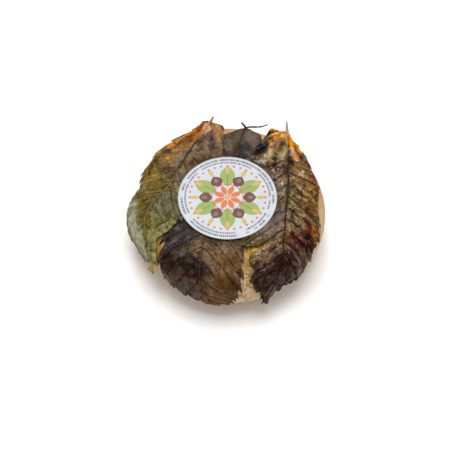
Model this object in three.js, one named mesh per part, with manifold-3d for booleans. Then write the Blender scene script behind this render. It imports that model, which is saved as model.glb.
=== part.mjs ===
// A small pecorino wheel dressed with three chestnut leaves and a round paper label.
//
// Millimetres, +Z up. The origin is the middle of the wheel's flat base. The leaves hang from
// the back (+Y) over the top and down the front (-Y). Each leaf is drawn on the unrolled wheel:
// a flat sheet whose distance from the origin is the length along the wheel's skin, measured
// from the middle of the top, and whose direction is the direction round the wheel.

import * as THREE from 'three';
import { mergeVertices } from 'three/addons/utils/BufferGeometryUtils.js';
import Module from 'manifold-3d';

const wasm = await Module();
wasm.setup();

// ---- Driving dimensions -------------------------------------------------------------------

const WHEEL = {
  radius: 80,
  height: 49.4,
  shoulderRound: 17, // radius of the round between top and side
  footRound: 27, // radius of the round between side and base
  sides: 60,
  topRings: [30, 50], // lengths along the skin of the rings on the flat top
  shoulderSteps: 6,
  footSteps: 7,
};

// Two slow waves that cross in the rind, each with crests round the wheel and a drift down it.
const RIND = {
  depth: 0.35,
  crests: [5, 9],
  drift: [13, -21], // length along the skin in which a wave moves on by one radian
  from: 40, // length along the skin where the waves begin
  full: 60, // and where they are at their full depth
};

// Places where the soft young wheel is pressed in: direction in degrees, depth, half spread.
const PRESSED_SIDES = [
  { at: 164, depth: 5.0, spread: 22 },
  { at: 222, depth: 3.6, spread: 34 },
];

const LABEL = { radius: 40, thickness: 0.5, lift: 2.7, sides: 64 };

const LEAF = {
  thickness: 0.6,
  standOff: 0.75, // the lowest leaf's middle surface above the flat top
  roundStandOff: 0.9, // what a stiff leaf adds where it bends over the shoulder
  roundReach: 5, // length before and after the shoulder's start in which it adds it
  overlap: 1.05, // what a leaf rises to lie on another one
  leastWidth: 0.8, // half width at the very tip
  veins: 14, // side veins on each side of the midrib
  rowsPerVein: 4,
  columns: [0, 0.05, 0.2, 0.4, 0.6, 0.8, 1], // share of the half width, midrib to margin
  ribHeight: 0.45, // the midrib above the blade
  baseVein: 95, // angle between the midrib and the side veins at the base, degrees
  sideVein: 47, // the same from "fanned" on
  fanned: 0.3, // share of the length in which the angle changes
  teethFrom: { none: 0.02, full: 0.12 }, // share of the length where the teeth begin
  teethTo: { none: 1, full: 0.9 }, // and where they end
  puckerEnds: 0.87, // share of the half width where the puckers between the veins end
  pressedPucker: 0.1, // what the label leaves of the puckers
  pressedReach: { from: 1, to: 10 }, // length outside the label in which they come back
  stalkWidth: 0.9, // half the width of the stalk
  stalkRows: 4,
};

// Half widths are measured along the side veins, at even steps from the base to the tip.
// "sun" is the side of the leaf towards +X, "shade" the side towards -X. A stalk's points are
// x, y and the rise above the wheel's top.
const LEAVES = [
  {
    name: 'leaf_middle',
    colour: 0x4a3a28,
    stalk: [[11.9, 71.3, 7.5], [13.1, 71.2, 5.5], [14.9, 70.4, 2.6]],
    midrib: [
      [14.9, 69], [11.2, 59], [4, 41], [-3, 22], [-10, 2], [-15.5, -20],
      [-20, -44], [-22, -64], [-20.6, -81], [-16, -97], [-9, -111],
    ],
    sun: [13, 27, 37.5, 46, 44, 49, 49, 45, 34.5, 22.5, 0.8],
    shade: [4, 22, 24, 24, 32, 43, 42.5, 34, 21.2, 13.5, 0.8],
    teeth: 3.4,
    pucker: 0.3,
    lies: { sun: 0, shade: 0, from: 0, to: 1 },
    stiffBase: { reach: 0.07, rise: 1.2 },
    freeTip: { reach: 0.1, rise: 0.6 },
    tears: [],
    flap: 0,
  },
  {
    name: 'leaf_left',
    colour: 0x6a6130,
    stalk: [[-14.3, 74.6, 9.5], [-15.3, 73.2, 8.2], [-16.6, 71.6, 6.6]],
    midrib: [
      [-17.8, 69.5], [-28, 54.2], [-36, 38], [-48.1, 17.8], [-57.2, 3.3],
      [-64.2, -13.7], [-67.2, -30.4], [-64.6, -44], [-64, -54], [-70, -66],
    ],
    sun: [15, 25, 25, 34, 40, 35.7, 27.7, 20, 10.8, 6.4, 0.8],
    shade: [2.5, 12.3, 27.5, 31, 23.5, 28, 36.7, 36, 26.5, 7.5, 0.8],
    teeth: 2.4,
    pucker: 0.55,
    lies: { sun: 1, shade: 0, from: 0.12, to: 0.42 },
    stiffBase: { reach: 0.13, rise: 6.0 },
    freeTip: { reach: 0.08, rise: 1.6 },
    tears: [],
    flap: 0,
  },
  {
    name: 'leaf_right',
    colour: 0x5c4526,
    stalk: [[49, 69.5, 12], [48.8, 67.5, 10.3], [48.6, 65.6, 8.6]],
    midrib: [
      [48.5, 64], [48.4, 54], [49.3, 36], [49, 11], [46.8, -14], [45.1, -40],
      [44, -54], [39.8, -71], [37.6, -84], [35.2, -93], [34.8, -101],
    ],
    sun: [3, 12.5, 28.5, 37, 42, 37, 35.5, 27.5, 16, 8, 0.8],
    shade: [11, 31, 46, 53, 48, 43.5, 36.5, 31, 22.8, 9.5, 0.8],
    teeth: 2.6,
    pucker: 0.75,
    lies: { sun: 0, shade: 1, from: 0.25, to: 0.5 },
    stiffBase: { reach: 0.17, rise: 7.0 },
    freeTip: { reach: 0.12, rise: 4.5 },
    // The blade has split along the eighth side vein and lost a corner beside the split.
    tears: [
      { side: 'shade', at: 8 / LEAF.veins, half: 0.017, depth: 0.86 },
      { side: 'shade', at: 0.555, half: 0.05, depth: 0.3 },
    ],
    flap: 1.6, // a strip of torn blade left along the sun side of the stalk
  },
];

// A dry stalk that stands off beside the middle leaf's own stalk: x, y and rise as above.
const TWIG = {
  path: [[14.9, 70.2, 2.4], [19.3, 68.9, 5.2], [26.4, 68.2, 6.2], [30.7, 68.5, 7.4], [33.1, 68.6, 9.2]],
  radius: 0.55,
  sides: 6,
  steps: 10,
};

// ---- Small maths --------------------------------------------------------------------------

const radians = THREE.MathUtils.degToRad;
const mix = THREE.MathUtils.lerp;
const QUARTER_TURN = Math.PI / 2;
const TINY = 1e-6;

/** A smooth rise from 0 at one value to 1 at the other, whichever of them is larger. */
function step(from, to, at) {
  const t = THREE.MathUtils.clamp((at - from) / (to - from), 0, 1);
  return t * t * (3 - 2 * t);
}

/** A smooth curve through values given at even steps from 0 to 1. */
function through(values, at) {
  const last = values.length - 1;
  const place = THREE.MathUtils.clamp(at, 0, 1) * last;
  const i = Math.min(Math.floor(place), last - 1);
  const [a, d] = [values[Math.max(i - 1, 0)], values[Math.min(i + 2, last)]];
  const [b, c] = [values[i], values[i + 1]];
  const t = place - i;
  return b + 0.5 * t * (c - a + t * (2 * a - 5 * b + 4 * c - d + t * (3 * (b - c) + d - a)));
}

// ---- The wheel's skin ---------------------------------------------------------------------

const SHOULDER_AT = WHEEL.radius - WHEEL.shoulderRound;
const SIDE_AT = SHOULDER_AT + WHEEL.shoulderRound * QUARTER_TURN;
const SIDE_HEIGHT = WHEEL.height - WHEEL.shoulderRound - WHEEL.footRound;
const FOOT_AT = SIDE_AT + SIDE_HEIGHT;
const BASE_AT = FOOT_AT + WHEEL.footRound * QUARTER_TURN;
const BASE_RADIUS = WHEEL.radius - WHEEL.footRound;

/** Radius, height and outward direction of the round wheel's skin, at a length along it. */
function skinProfile(length) {
  const { radius, height, shoulderRound, footRound } = WHEEL;
  const sideTop = height - shoulderRound;
  if (length < SHOULDER_AT) return { r: length, z: height, nr: 0, nz: 1 };
  if (length < SIDE_AT) {
    const turn = (length - SHOULDER_AT) / shoulderRound;
    const [nr, nz] = [Math.sin(turn), Math.cos(turn)];
    return { r: SHOULDER_AT + shoulderRound * nr, z: sideTop + shoulderRound * nz, nr, nz };
  }
  if (length < FOOT_AT) return { r: radius, z: sideTop - (length - SIDE_AT), nr: 1, nz: 0 };
  const turn = Math.min((length - FOOT_AT) / footRound, QUARTER_TURN);
  const [nr, nz] = [Math.cos(turn), -Math.sin(turn)];
  return { r: BASE_RADIUS + footRound * nr, z: footRound + footRound * nz, nr, nz };
}

/** How much narrower the wheel is in one direction, where its sides are pressed in. */
function pressed(angle) {
  let share = 1;
  for (const { at, depth, spread } of PRESSED_SIDES) {
    let away = Math.abs(THREE.MathUtils.radToDeg(angle) - at) % 360;
    away = Math.min(away, 360 - away);
    if (away < spread) share -= depth / WHEEL.radius * Math.cos(away / spread * QUARTER_TURN) ** 2;
  }
  return share;
}

/** The point that lies a height above the skin, at a place on the unrolled wheel. */
function onSkin(x, y, above) {
  const angle = Math.atan2(y, x);
  const { r, z, nr, nz } = skinProfile(Math.hypot(x, y));
  const out = r * pressed(angle) + above * nr;
  return new THREE.Vector3(out * Math.cos(angle), out * Math.sin(angle), z + above * nz);
}

// ---- Closed bodies ------------------------------------------------------------------------

/** A geometry from points and triangles of point numbers. */
function bodyOf(points, triangles) {
  const geometry = new THREE.BufferGeometry();
  const places = points.flatMap((point) => point.toArray());
  geometry.setAttribute('position', new THREE.Float32BufferAttribute(places, 3));
  geometry.setIndex(triangles.flat());
  return geometry;
}

/** One body from several closed ones that run into each other. */
function fused(geometries) {
  const solids = geometries.map((geometry) => {
    const bare = mergeVertices(geometry);
    return new wasm.Manifold(new wasm.Mesh({
      numProp: 3,
      vertProperties: new Float32Array(bare.attributes.position.array),
      triVerts: new Uint32Array(bare.index.array),
    }));
  });
  const { numProp, vertProperties, triVerts } = solids.reduce((a, b) => a.add(b)).getMesh();
  const points = [];
  for (let i = 0; i < vertProperties.length; i += numProp) {
    points.push(new THREE.Vector3(...vertProperties.slice(i, i + 3)));
  }
  return bodyOf(points, [[...triVerts]]);
}

/** A round rod along a smooth path, closed at both ends by a point. */
function rod(path, radius, sides, steps) {
  const curve = new THREE.CatmullRomCurve3(path);
  const frames = curve.computeFrenetFrames(steps);
  const points = [curve.getPointAt(0)];
  const triangles = [];
  for (let i = 0; i <= steps; i++) {
    const centre = curve.getPointAt(i / steps);
    for (let j = 0; j < sides; j++) {
      const turn = j / sides * Math.PI * 2;
      points.push(centre.clone()
        .addScaledVector(frames.normals[i], radius * Math.cos(turn))
        .addScaledVector(frames.binormals[i], radius * Math.sin(turn)));
    }
  }
  points.push(curve.getPointAt(1));
  const end = points.length - 1;
  for (let j = 0; j < sides; j++) {
    const next = (j + 1) % sides;
    triangles.push([0, 1 + next, 1 + j], [end, end - sides + j, end - sides + next]);
    for (let i = 0; i < steps; i++) {
      const [a, b] = [1 + i * sides + j, 1 + i * sides + next];
      triangles.push([a, b, b + sides], [a, b + sides, a + sides]);
    }
  }
  return bodyOf(points, triangles);
}

// ---- The cheese ---------------------------------------------------------------------------

/** How far the rind's waves lie below the wheel's skin. */
function rindDip(angle, length) {
  if (length >= BASE_AT) return 0;
  const waves = RIND.crests.map((crests, i) => Math.sin(crests * angle + length / RIND.drift[i]));
  return RIND.depth * (1 + waves[0] * waves[1]) / 2 * step(RIND.from, RIND.full, length);
}

/** The wheel: a flat top and base, round shoulder and foot, and slow waves in the rind. */
function wheel() {
  const { sides, topRings, shoulderSteps, footSteps } = WHEEL;
  const lengths = [...topRings, SHOULDER_AT];
  for (let i = 1; i <= shoulderSteps; i++) lengths.push(mix(SHOULDER_AT, SIDE_AT, i / shoulderSteps));
  for (let i = 0; i <= footSteps; i++) lengths.push(mix(FOOT_AT, BASE_AT, i / footSteps));
  const points = [new THREE.Vector3(0, 0, WHEEL.height)];
  for (const length of lengths) {
    for (let j = 0; j < sides; j++) {
      const angle = j / sides * Math.PI * 2;
      points.push(onSkin(length * Math.cos(angle), length * Math.sin(angle), -rindDip(angle, length)));
    }
  }
  points.push(new THREE.Vector3(0, 0, 0));
  const triangles = [];
  const end = points.length - 1;
  for (let j = 0; j < sides; j++) {
    const next = (j + 1) % sides;
    triangles.push([0, 1 + j, 1 + next], [end, end - sides + next, end - sides + j]);
    for (let i = 0; i < lengths.length - 1; i++) {
      const [a, b] = [1 + i * sides + j, 1 + i * sides + next];
      triangles.push([a, a + sides, b + sides], [a, b + sides, b]);
    }
  }
  return bodyOf(points, triangles);
}

// ---- The leaves ---------------------------------------------------------------------------

/** Half the blade's width along its side veins, with the teeth of its margin and its tears. */
function halfWidth(leaf, side, along) {
  const { veins, teethFrom, teethTo, leastWidth } = LEAF;
  const veinsPassed = along * veins;
  const beforeVein = Math.ceil(veinsPassed - TINY) - veinsPassed;
  const toothed = step(teethFrom.none, teethFrom.full, along) * step(teethTo.none, teethTo.full, along);
  let width = through(leaf[side], along) + leaf.teeth * toothed * (0.5 - beforeVein);
  for (const tear of leaf.tears.filter((t) => t.side === side)) {
    width *= 1 - tear.depth * Math.max(0, 1 - Math.abs(along - tear.at) / tear.half);
  }
  return Math.max(width, leastWidth);
}

/** A point of the blade's middle surface: "across" runs from -1 at the shade margin to 1. */
function bladePoint(leaf, midrib, along, across) {
  const side = across > 0 ? 'sun' : 'shade';
  const share = Math.abs(across);
  const centre = midrib.getPointAt(along);
  const tangent = midrib.getTangentAt(along);
  const angle = radians(mix(LEAF.baseVein, LEAF.sideVein, step(0, LEAF.fanned, along)));
  const turn = Math.sign(across) * angle;
  const out = halfWidth(leaf, side, along) * share;
  const x = centre.x + out * (tangent.x * Math.cos(turn) - tangent.y * Math.sin(turn));
  const y = centre.y + out * (tangent.x * Math.sin(turn) + tangent.y * Math.cos(turn));

  const length = Math.hypot(x, y);
  const { from, to } = LEAF.pressedReach;
  const free = mix(LEAF.pressedPucker, 1, step(LABEL.radius + from, LABEL.radius + to, length));
  const betweenVeins = Math.abs(Math.sin(Math.PI * LEAF.veins * along));
  const puckered = betweenVeins * Math.sin(Math.PI * Math.min(share / LEAF.puckerEnds, 1));
  const above = LEAF.standOff
    + LEAF.roundStandOff * step(SHOULDER_AT - LEAF.roundReach, SHOULDER_AT + LEAF.roundReach, length)
    + LEAF.overlap * leaf.lies[side] * step(leaf.lies.from, leaf.lies.to, share)
    + leaf.pucker * puckered * free
    + leaf.freeTip.rise * step(1 - leaf.freeTip.reach, 1, along);

  // The stiff base of a leaf doesn't follow the shoulder: it stands off, straight and rising.
  const stiff = step(leaf.stiffBase.reach, 0, along);
  const bent = onSkin(x, y, above);
  const straight = new THREE.Vector3(x, y, WHEEL.height + above + leaf.stiffBase.rise * stiff);
  return bent.lerp(straight, stiff);
}

/** Points given as x, y and the rise above the wheel's top. */
function risen(places) {
  return places.map(([x, y, rise]) => new THREE.Vector3(x, y, WHEEL.height + rise));
}

/** The rows of middle points that make one leaf, from the stalk's end to the tip. */
function leafRows(leaf) {
  const midrib = new THREE.CatmullRomCurve3(leaf.midrib.map(([x, y]) => new THREE.Vector3(x, y, 0)));
  const across = [...LEAF.columns.slice(1).reverse().map((c) => -c), ...LEAF.columns];
  const count = LEAF.veins * LEAF.rowsPerVein;
  const blade = [];
  for (let i = 0; i <= count; i++) blade.push(across.map((c) => bladePoint(leaf, midrib, i / count, c)));
  const base = blade[0][LEAF.columns.length - 1];
  const stalk = new THREE.CatmullRomCurve3([...risen(leaf.stalk), base]);
  const rows = [];
  for (let i = 0; i < LEAF.stalkRows; i++) {
    const centre = stalk.getPointAt(i / LEAF.stalkRows);
    const sunWidth = LEAF.stalkWidth + leaf.flap * i / LEAF.stalkRows;
    rows.push(across.map((c) => (
      centre.clone().add(new THREE.Vector3(c * (c > 0 ? sunWidth : LEAF.stalkWidth), 0, 0))
    )));
  }
  return [...rows, ...blade];
}

/** A leaf as a thin wavy solid: two alike skins and the narrow margin between them. */
function leafBody(leaf) {
  const rows = leafRows(leaf);
  const width = rows[0].length;
  const normals = rows.map((row, i) => row.map((point, j) => {
    const before = rows[Math.max(i - 1, 0)][j];
    const after = rows[Math.min(i + 1, rows.length - 1)][j];
    const left = row[Math.max(j - 1, 0)];
    const right = row[Math.min(j + 1, width - 1)];
    return right.clone().sub(left).cross(before.clone().sub(after)).normalize();
  }));
  const rib = Math.floor(width / 2);
  const upper = rows.flatMap((row, i) => row.map((point, j) => {
    const raised = j === rib ? LEAF.ribHeight : 0;
    return point.clone().addScaledVector(normals[i][j], LEAF.thickness / 2 + raised);
  }));
  const lower = rows.flatMap((row, i) => row.map((point, j) => (
    point.clone().addScaledVector(normals[i][j], -LEAF.thickness / 2)
  )));
  const under = upper.length;
  const triangles = [];
  for (let i = 0; i < rows.length - 1; i++) {
    for (let j = 0; j < width - 1; j++) {
      const [a, b] = [i * width + j, i * width + j + 1];
      const [d, c] = [a + width, b + width];
      triangles.push([a, c, b], [a, d, c]);
      triangles.push([under + a, under + b, under + c], [under + a, under + c, under + d]);
    }
  }
  const margin = [];
  for (let j = 0; j < width; j++) margin.push(j);
  for (let i = 1; i < rows.length; i++) margin.push(i * width + width - 1);
  for (let j = width - 2; j >= 0; j--) margin.push((rows.length - 1) * width + j);
  for (let i = rows.length - 2; i > 0; i--) margin.push(i * width);
  margin.forEach((a, i) => {
    const b = margin[(i + 1) % margin.length];
    triangles.push([a, b, under + b], [a, under + b, under + a]);
  });
  return bodyOf([...upper, ...lower], triangles);
}

// ---- The whole part -----------------------------------------------------------------------

/** A named piece with its own finish. */
function piece(name, geometry, color, roughness) {
  geometry.computeVertexNormals();
  const finish = new THREE.MeshStandardMaterial({ color, roughness, metalness: 0 });
  const mesh = new THREE.Mesh(geometry, finish);
  mesh.name = name;
  return mesh;
}

const group = new THREE.Group();

group.add(piece('cheese_wheel', wheel(), 0xc79a5b, 0.6));

for (const leaf of LEAVES) {
  const blade = leafBody(leaf);
  const twig = () => rod(risen(TWIG.path), TWIG.radius, TWIG.sides, TWIG.steps);
  const body = leaf.name === 'leaf_middle' ? fused([blade, twig()]) : blade;
  group.add(piece(leaf.name, body, leaf.colour, 0.5));
}

const disc = new THREE.CylinderGeometry(LABEL.radius, LABEL.radius, LABEL.thickness, LABEL.sides);
disc.rotateX(QUARTER_TURN);
disc.translate(0, 0, WHEEL.height + LABEL.lift + LABEL.thickness / 2);
group.add(piece('label', disc, 0xe8ebee, 0.45));

export default group;
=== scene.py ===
"""A small pecorino wheel dressed with three chestnut leaves and a round paper label.

The wheel's skin is unrolled to a flat sheet: the distance from the sheet's middle is the length
along the skin from the middle of the top, and the direction is the direction round the wheel.
Each leaf is drawn on that sheet, gets its veins, puckers and wrinkles there, is laid over what
lies on the wheel already, and is then bent over the wheel. Lengths are in millimetres until a
mesh is made, which is in metres. +Y is the back, where the stalks are.
"""

import logging
import math
from dataclasses import dataclass, field
from enum import Enum

import bpy
import numpy as np
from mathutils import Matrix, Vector


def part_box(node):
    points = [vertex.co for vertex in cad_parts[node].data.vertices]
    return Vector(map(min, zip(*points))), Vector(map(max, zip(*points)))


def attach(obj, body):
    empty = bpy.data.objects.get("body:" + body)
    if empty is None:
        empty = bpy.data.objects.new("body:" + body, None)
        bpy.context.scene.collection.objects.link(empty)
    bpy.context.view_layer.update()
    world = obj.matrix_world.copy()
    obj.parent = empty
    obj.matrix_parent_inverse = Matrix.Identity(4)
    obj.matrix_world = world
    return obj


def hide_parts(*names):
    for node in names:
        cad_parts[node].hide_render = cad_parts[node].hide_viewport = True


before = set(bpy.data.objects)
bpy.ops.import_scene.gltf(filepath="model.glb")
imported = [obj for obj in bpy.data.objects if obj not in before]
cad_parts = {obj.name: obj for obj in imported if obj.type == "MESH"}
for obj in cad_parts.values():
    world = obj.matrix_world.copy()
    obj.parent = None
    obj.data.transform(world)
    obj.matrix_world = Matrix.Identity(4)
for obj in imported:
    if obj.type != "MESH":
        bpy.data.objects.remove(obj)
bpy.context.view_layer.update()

log = logging.getLogger("pecorino")

MM = 0.001
QUARTER_TURN = math.pi / 2
FULL_TURN = math.pi * 2
STUDIO_LIGHT = 1.42  # how brightly the studio lights a flat white surface
STUDIO_SHEEN = 0.006  # what its reflections add to any colour
DARKEST = 0.001  # the least light that a colour asks for
TINY = 1e-9
Colour = tuple[float, float, float]
Pair = tuple[float, float]
Triple = tuple[float, float, float]


# ---- Small maths --------------------------------------------------------------------------


def rgb(code: int) -> Colour:
    """The colour that a flat surface needs to be seen as a code of red, green and blue bytes.

    Args:
        code: the bytes, red first, on the usual curve of a screen.

    Returns:
        Amounts of red, green and blue light.
    """
    parts = [(code >> shift & 255) / 255 for shift in (16, 8, 0)]
    linear = (p / 12.92 if p < 0.04045 else ((p + 0.055) / 1.055) ** 2.4 for p in parts)
    return tuple(max(p - STUDIO_SHEEN, DARKEST) / STUDIO_LIGHT for p in linear)


def step(low: float, high: float, at: np.ndarray) -> np.ndarray:
    """A smooth rise from 0 at one value to 1 at the other, whichever of them is larger."""
    t = np.clip((at - low) / (high - low), 0, 1)
    return t * t * (3 - 2 * t)


def mix(low: float, high: float, share: np.ndarray) -> np.ndarray:
    """The value that lies a share of the way from one value to another."""
    return low + (high - low) * share


def bell(at: np.ndarray, middle: float, reach: float) -> np.ndarray:
    """A smooth bump of height 1 round a middle value."""
    return np.exp(-(((at - middle) / reach) ** 2))


def larger(a: np.ndarray, b: np.ndarray, blend: float) -> np.ndarray:
    """The larger of two values, eased over where they are nearly alike."""
    return (a + b + np.sqrt((a - b) ** 2 + blend**2)) / 2


def through(values: tuple[float, ...], at: np.ndarray) -> np.ndarray:
    """A smooth curve through values given at even steps from 0 to 1.

    Args:
        values: the values to pass through.
        at: the places from 0 to 1 where the curve is wanted.

    Returns:
        The curve's value at each place.
    """
    known = np.array([values[0], *values, values[-1]])
    place = np.clip(at, 0, 1) * (len(values) - 1)
    i = np.minimum(place.astype(int), len(values) - 2)
    a, b, c, d = (known[i + k] for k in range(4))
    t = place - i
    return b + 0.5 * t * (c - a + t * (2 * a - 5 * b + 4 * c - d + t * (3 * (b - c) + d - a)))


def smooth_curve(points: np.ndarray, count: int, fineness: int = 24) -> np.ndarray:
    """A smooth curve through points, cut into stretches of even length.

    Args:
        points: the points to pass through, one a row.
        count: how many points the result has.
        fineness: how many points are worked out between two given ones.

    Returns:
        The points along the curve, one a row.
    """
    ends = np.vstack([2 * points[0] - points[1], points, 2 * points[-1] - points[-2]])
    pieces = []
    for a, b, c, d in zip(ends, ends[1:], ends[2:], ends[3:]):
        knots = np.cumsum([0, *(np.linalg.norm(q - p) ** 0.5 for p, q in ((a, b), (b, c), (c, d)))])
        t = np.linspace(knots[1], knots[2], fineness, endpoint=False)[:, None]

        def between(low: int, high: int, p: np.ndarray, q: np.ndarray) -> np.ndarray:
            """The point between two others, as far along as t is between two knots."""
            return p + (q - p) * (t - knots[low]) / (knots[high] - knots[low])

        first, second, third = between(0, 1, a, b), between(1, 2, b, c), between(2, 3, c, d)
        pieces.append(between(1, 2, between(0, 2, first, second), between(1, 3, second, third)))
    fine = np.vstack([*pieces, points[-1:]])
    lengths = np.concatenate([[0], np.cumsum(np.linalg.norm(np.diff(fine, axis=0), axis=1))])
    even = np.linspace(0, lengths[-1], count)
    return np.stack([np.interp(even, lengths, column) for column in fine.T], axis=1)


class Grain:
    """Smooth seeded noise in space: values at the corners of a lattice, eased between them."""

    SIZE = 64

    def __init__(self, seed: int) -> None:
        """Draws the lattice's values from a seed."""
        self.values = np.random.default_rng(seed).uniform(-1, 1, (self.SIZE,) * 3)

    def __call__(self, x: np.ndarray, y: np.ndarray, z: np.ndarray | float = 0.5) -> np.ndarray:
        """The noise at points given in lattice steps.

        Args:
            x: first coordinates.
            y: second coordinates.
            z: third coordinates.

        Returns:
            Values from about -1 to 1.
        """
        total = 0.0
        places = np.broadcast_arrays(x, y, z)
        lows = [np.floor(p).astype(int) for p in places]
        eased = [step(0, 1, p - low) for p, low in zip(places, lows)]
        for corner in np.ndindex(2, 2, 2):
            weight = np.prod([e if c else 1 - e for c, e in zip(corner, eased)], axis=0)
            i, j, k = ((low + c) % self.SIZE for c, low in zip(corner, lows))
            total = total + weight * self.values[i, j, k]
        return total


# ---- Meshes -------------------------------------------------------------------------------

BAKE_SPAN = (0.01, 0.99)  # what a thin sheet takes up of the width of its bake map
BAKE_UPPER = (0.01, 0.48)  # and of its height, for the upper face
BAKE_LOWER = 0.51  # how much higher the lower face is on the map
BAKE_RIM = (0.487, 0.493)  # the strip between the two, for the rim
BAKE_ROD = (0.4965, 0.5045)  # the strip above that, for a rod on the sheet


def outline_of(rows: int, columns: int) -> np.ndarray:
    """The point numbers round the edge of a grid of points.

    Args:
        rows: how many rows the grid has.
        columns: how many columns.

    Returns:
        The numbers in the order of the edge.
    """
    numbers = np.arange(rows * columns).reshape(rows, columns)
    sides = numbers[0], numbers[1:, -1], numbers[-1, -2::-1], numbers[-2:0:-1, 0]
    return np.concatenate(sides)


def grid_faces(rows: int, columns: int) -> np.ndarray:
    """The four-sided faces of a grid of points, facing up.

    Args:
        rows: how many rows the grid has.
        columns: how many columns.

    Returns:
        Four point numbers for each face.
    """
    numbers = np.arange(rows * columns).reshape(rows, columns)
    a, b, c, d = numbers[:-1, :-1], numbers[:-1, 1:], numbers[1:, 1:], numbers[1:, :-1]
    return np.stack([a, d, c, b], axis=-1).reshape(-1, 4)


@dataclass
class Skin:
    """The points, faces and maps of one closed mesh, in millimetres."""

    points: np.ndarray
    faces: list[tuple[int, ...]]
    maps: dict[str, np.ndarray] = field(default_factory=dict)  # one pair for each point
    bake: np.ndarray | None = None  # one pair for each corner of each face

    def piece(self, name: str, material: bpy.types.Material) -> bpy.types.Object:
        """The mesh as an object in metres.

        Args:
            name: the object's name.
            material: its finish.

        Returns:
            The new object, linked to the scene.
        """
        mesh = bpy.data.meshes.new(name)
        mesh.from_pydata((self.points * MM).tolist(), [], self.faces)
        corners = np.zeros(len(mesh.loops), dtype=int)
        mesh.loops.foreach_get("vertex_index", corners)
        layers = {title: values[corners] for title, values in self.maps.items()}
        if self.bake is not None:
            layers["OFBake"] = self.bake
        for title, values in layers.items():
            mesh.uv_layers.new(name=title).data.foreach_set("uv", values.ravel())
        mesh.polygons.foreach_set("use_smooth", np.ones(len(mesh.polygons), dtype=bool))
        mesh.materials.append(material)
        mesh.update()
        thing = bpy.data.objects.new(name, mesh)
        bpy.context.scene.collection.objects.link(thing)
        return thing


def thin_skin(upper: np.ndarray, lower: np.ndarray, maps: dict[str, np.ndarray]) -> Skin:
    """A thin closed sheet from the grids of points of its two faces.

    Args:
        upper: points of the upper face, by row and column.
        lower: points of the lower face.
        maps: pairs for each point of the grid, the same on both faces.

    Returns:
        The sheet with its narrow rim, and a bake map with the faces side by side.
    """
    rows, columns = upper.shape[:2]
    count = rows * columns
    over = grid_faces(rows, columns)
    edge = outline_of(rows, columns)
    after = np.roll(edge, -1)
    rim = np.stack([edge, after, after + count, edge + count], axis=-1)
    faces = np.vstack([over, over[:, ::-1] + count, rim])

    along, across = np.meshgrid(np.linspace(0, 1, rows), np.linspace(0, 1, columns), indexing="ij")
    place = np.stack([mix(*BAKE_SPAN, along), mix(*BAKE_UPPER, across)], axis=-1).reshape(-1, 2)
    place = np.vstack([place, place + (0, BAKE_LOWER)])
    bake = place[faces.ravel()].reshape(-1, 4, 2)
    ends = np.linspace(*BAKE_SPAN, len(edge) + 1)
    bake[-len(edge):, :, 0] = np.stack([ends[:-1], ends[1:], ends[1:], ends[:-1]], axis=-1)
    bake[-len(edge):, :, 1] = np.repeat(BAKE_RIM, 2)
    both = {title: np.vstack([v.reshape(-1, 2)] * 2) for title, v in maps.items()}
    points = np.vstack([upper.reshape(-1, 3), lower.reshape(-1, 3)])
    return Skin(points, faces.tolist(), both, bake.reshape(-1, 2))


def rod_skin(path: np.ndarray, radii: np.ndarray, sides: int) -> tuple[np.ndarray, list]:
    """A round rod along a path, closed by a point at both ends.

    Args:
        path: the points of its middle line.
        radii: its radius at each of them.
        sides: how many sides it has.

    Returns:
        Its points and its faces.
    """
    ahead = np.gradient(path, axis=0)
    ahead /= np.linalg.norm(ahead, axis=1, keepdims=True)
    aside = np.cross(ahead, (0.0, 0.0, 1.0))
    aside /= np.linalg.norm(aside, axis=1, keepdims=True)
    over = np.cross(aside, ahead)
    turn = np.linspace(0, FULL_TURN, sides, endpoint=False)[None, :, None]
    spokes = np.cos(turn) * aside[:, None] + np.sin(turn) * over[:, None]
    rings = path[:, None] + spokes * radii[:, None, None]
    points = np.vstack([path[:1], rings.reshape(-1, 3), path[-1:]])
    faces = []
    last = len(points) - 1
    for j in range(sides):
        k = (j + 1) % sides
        faces += [(0, 1 + j, 1 + k), (last, last - sides + k, last - sides + j)]
        for i in range(len(path) - 1):
            a, b = 1 + i * sides + j, 1 + i * sides + k
            faces.append((a, a + sides, b + sides, b))
    return points, faces


# ---- Shader maths -------------------------------------------------------------------------


@dataclass(frozen=True)
class Lumps:
    """How a noise looks."""

    scale: float  # lumps for each unit of the place
    detail: float = 3.0  # how many finer octaves it has
    rough: float = 0.55  # how strong those are


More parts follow.
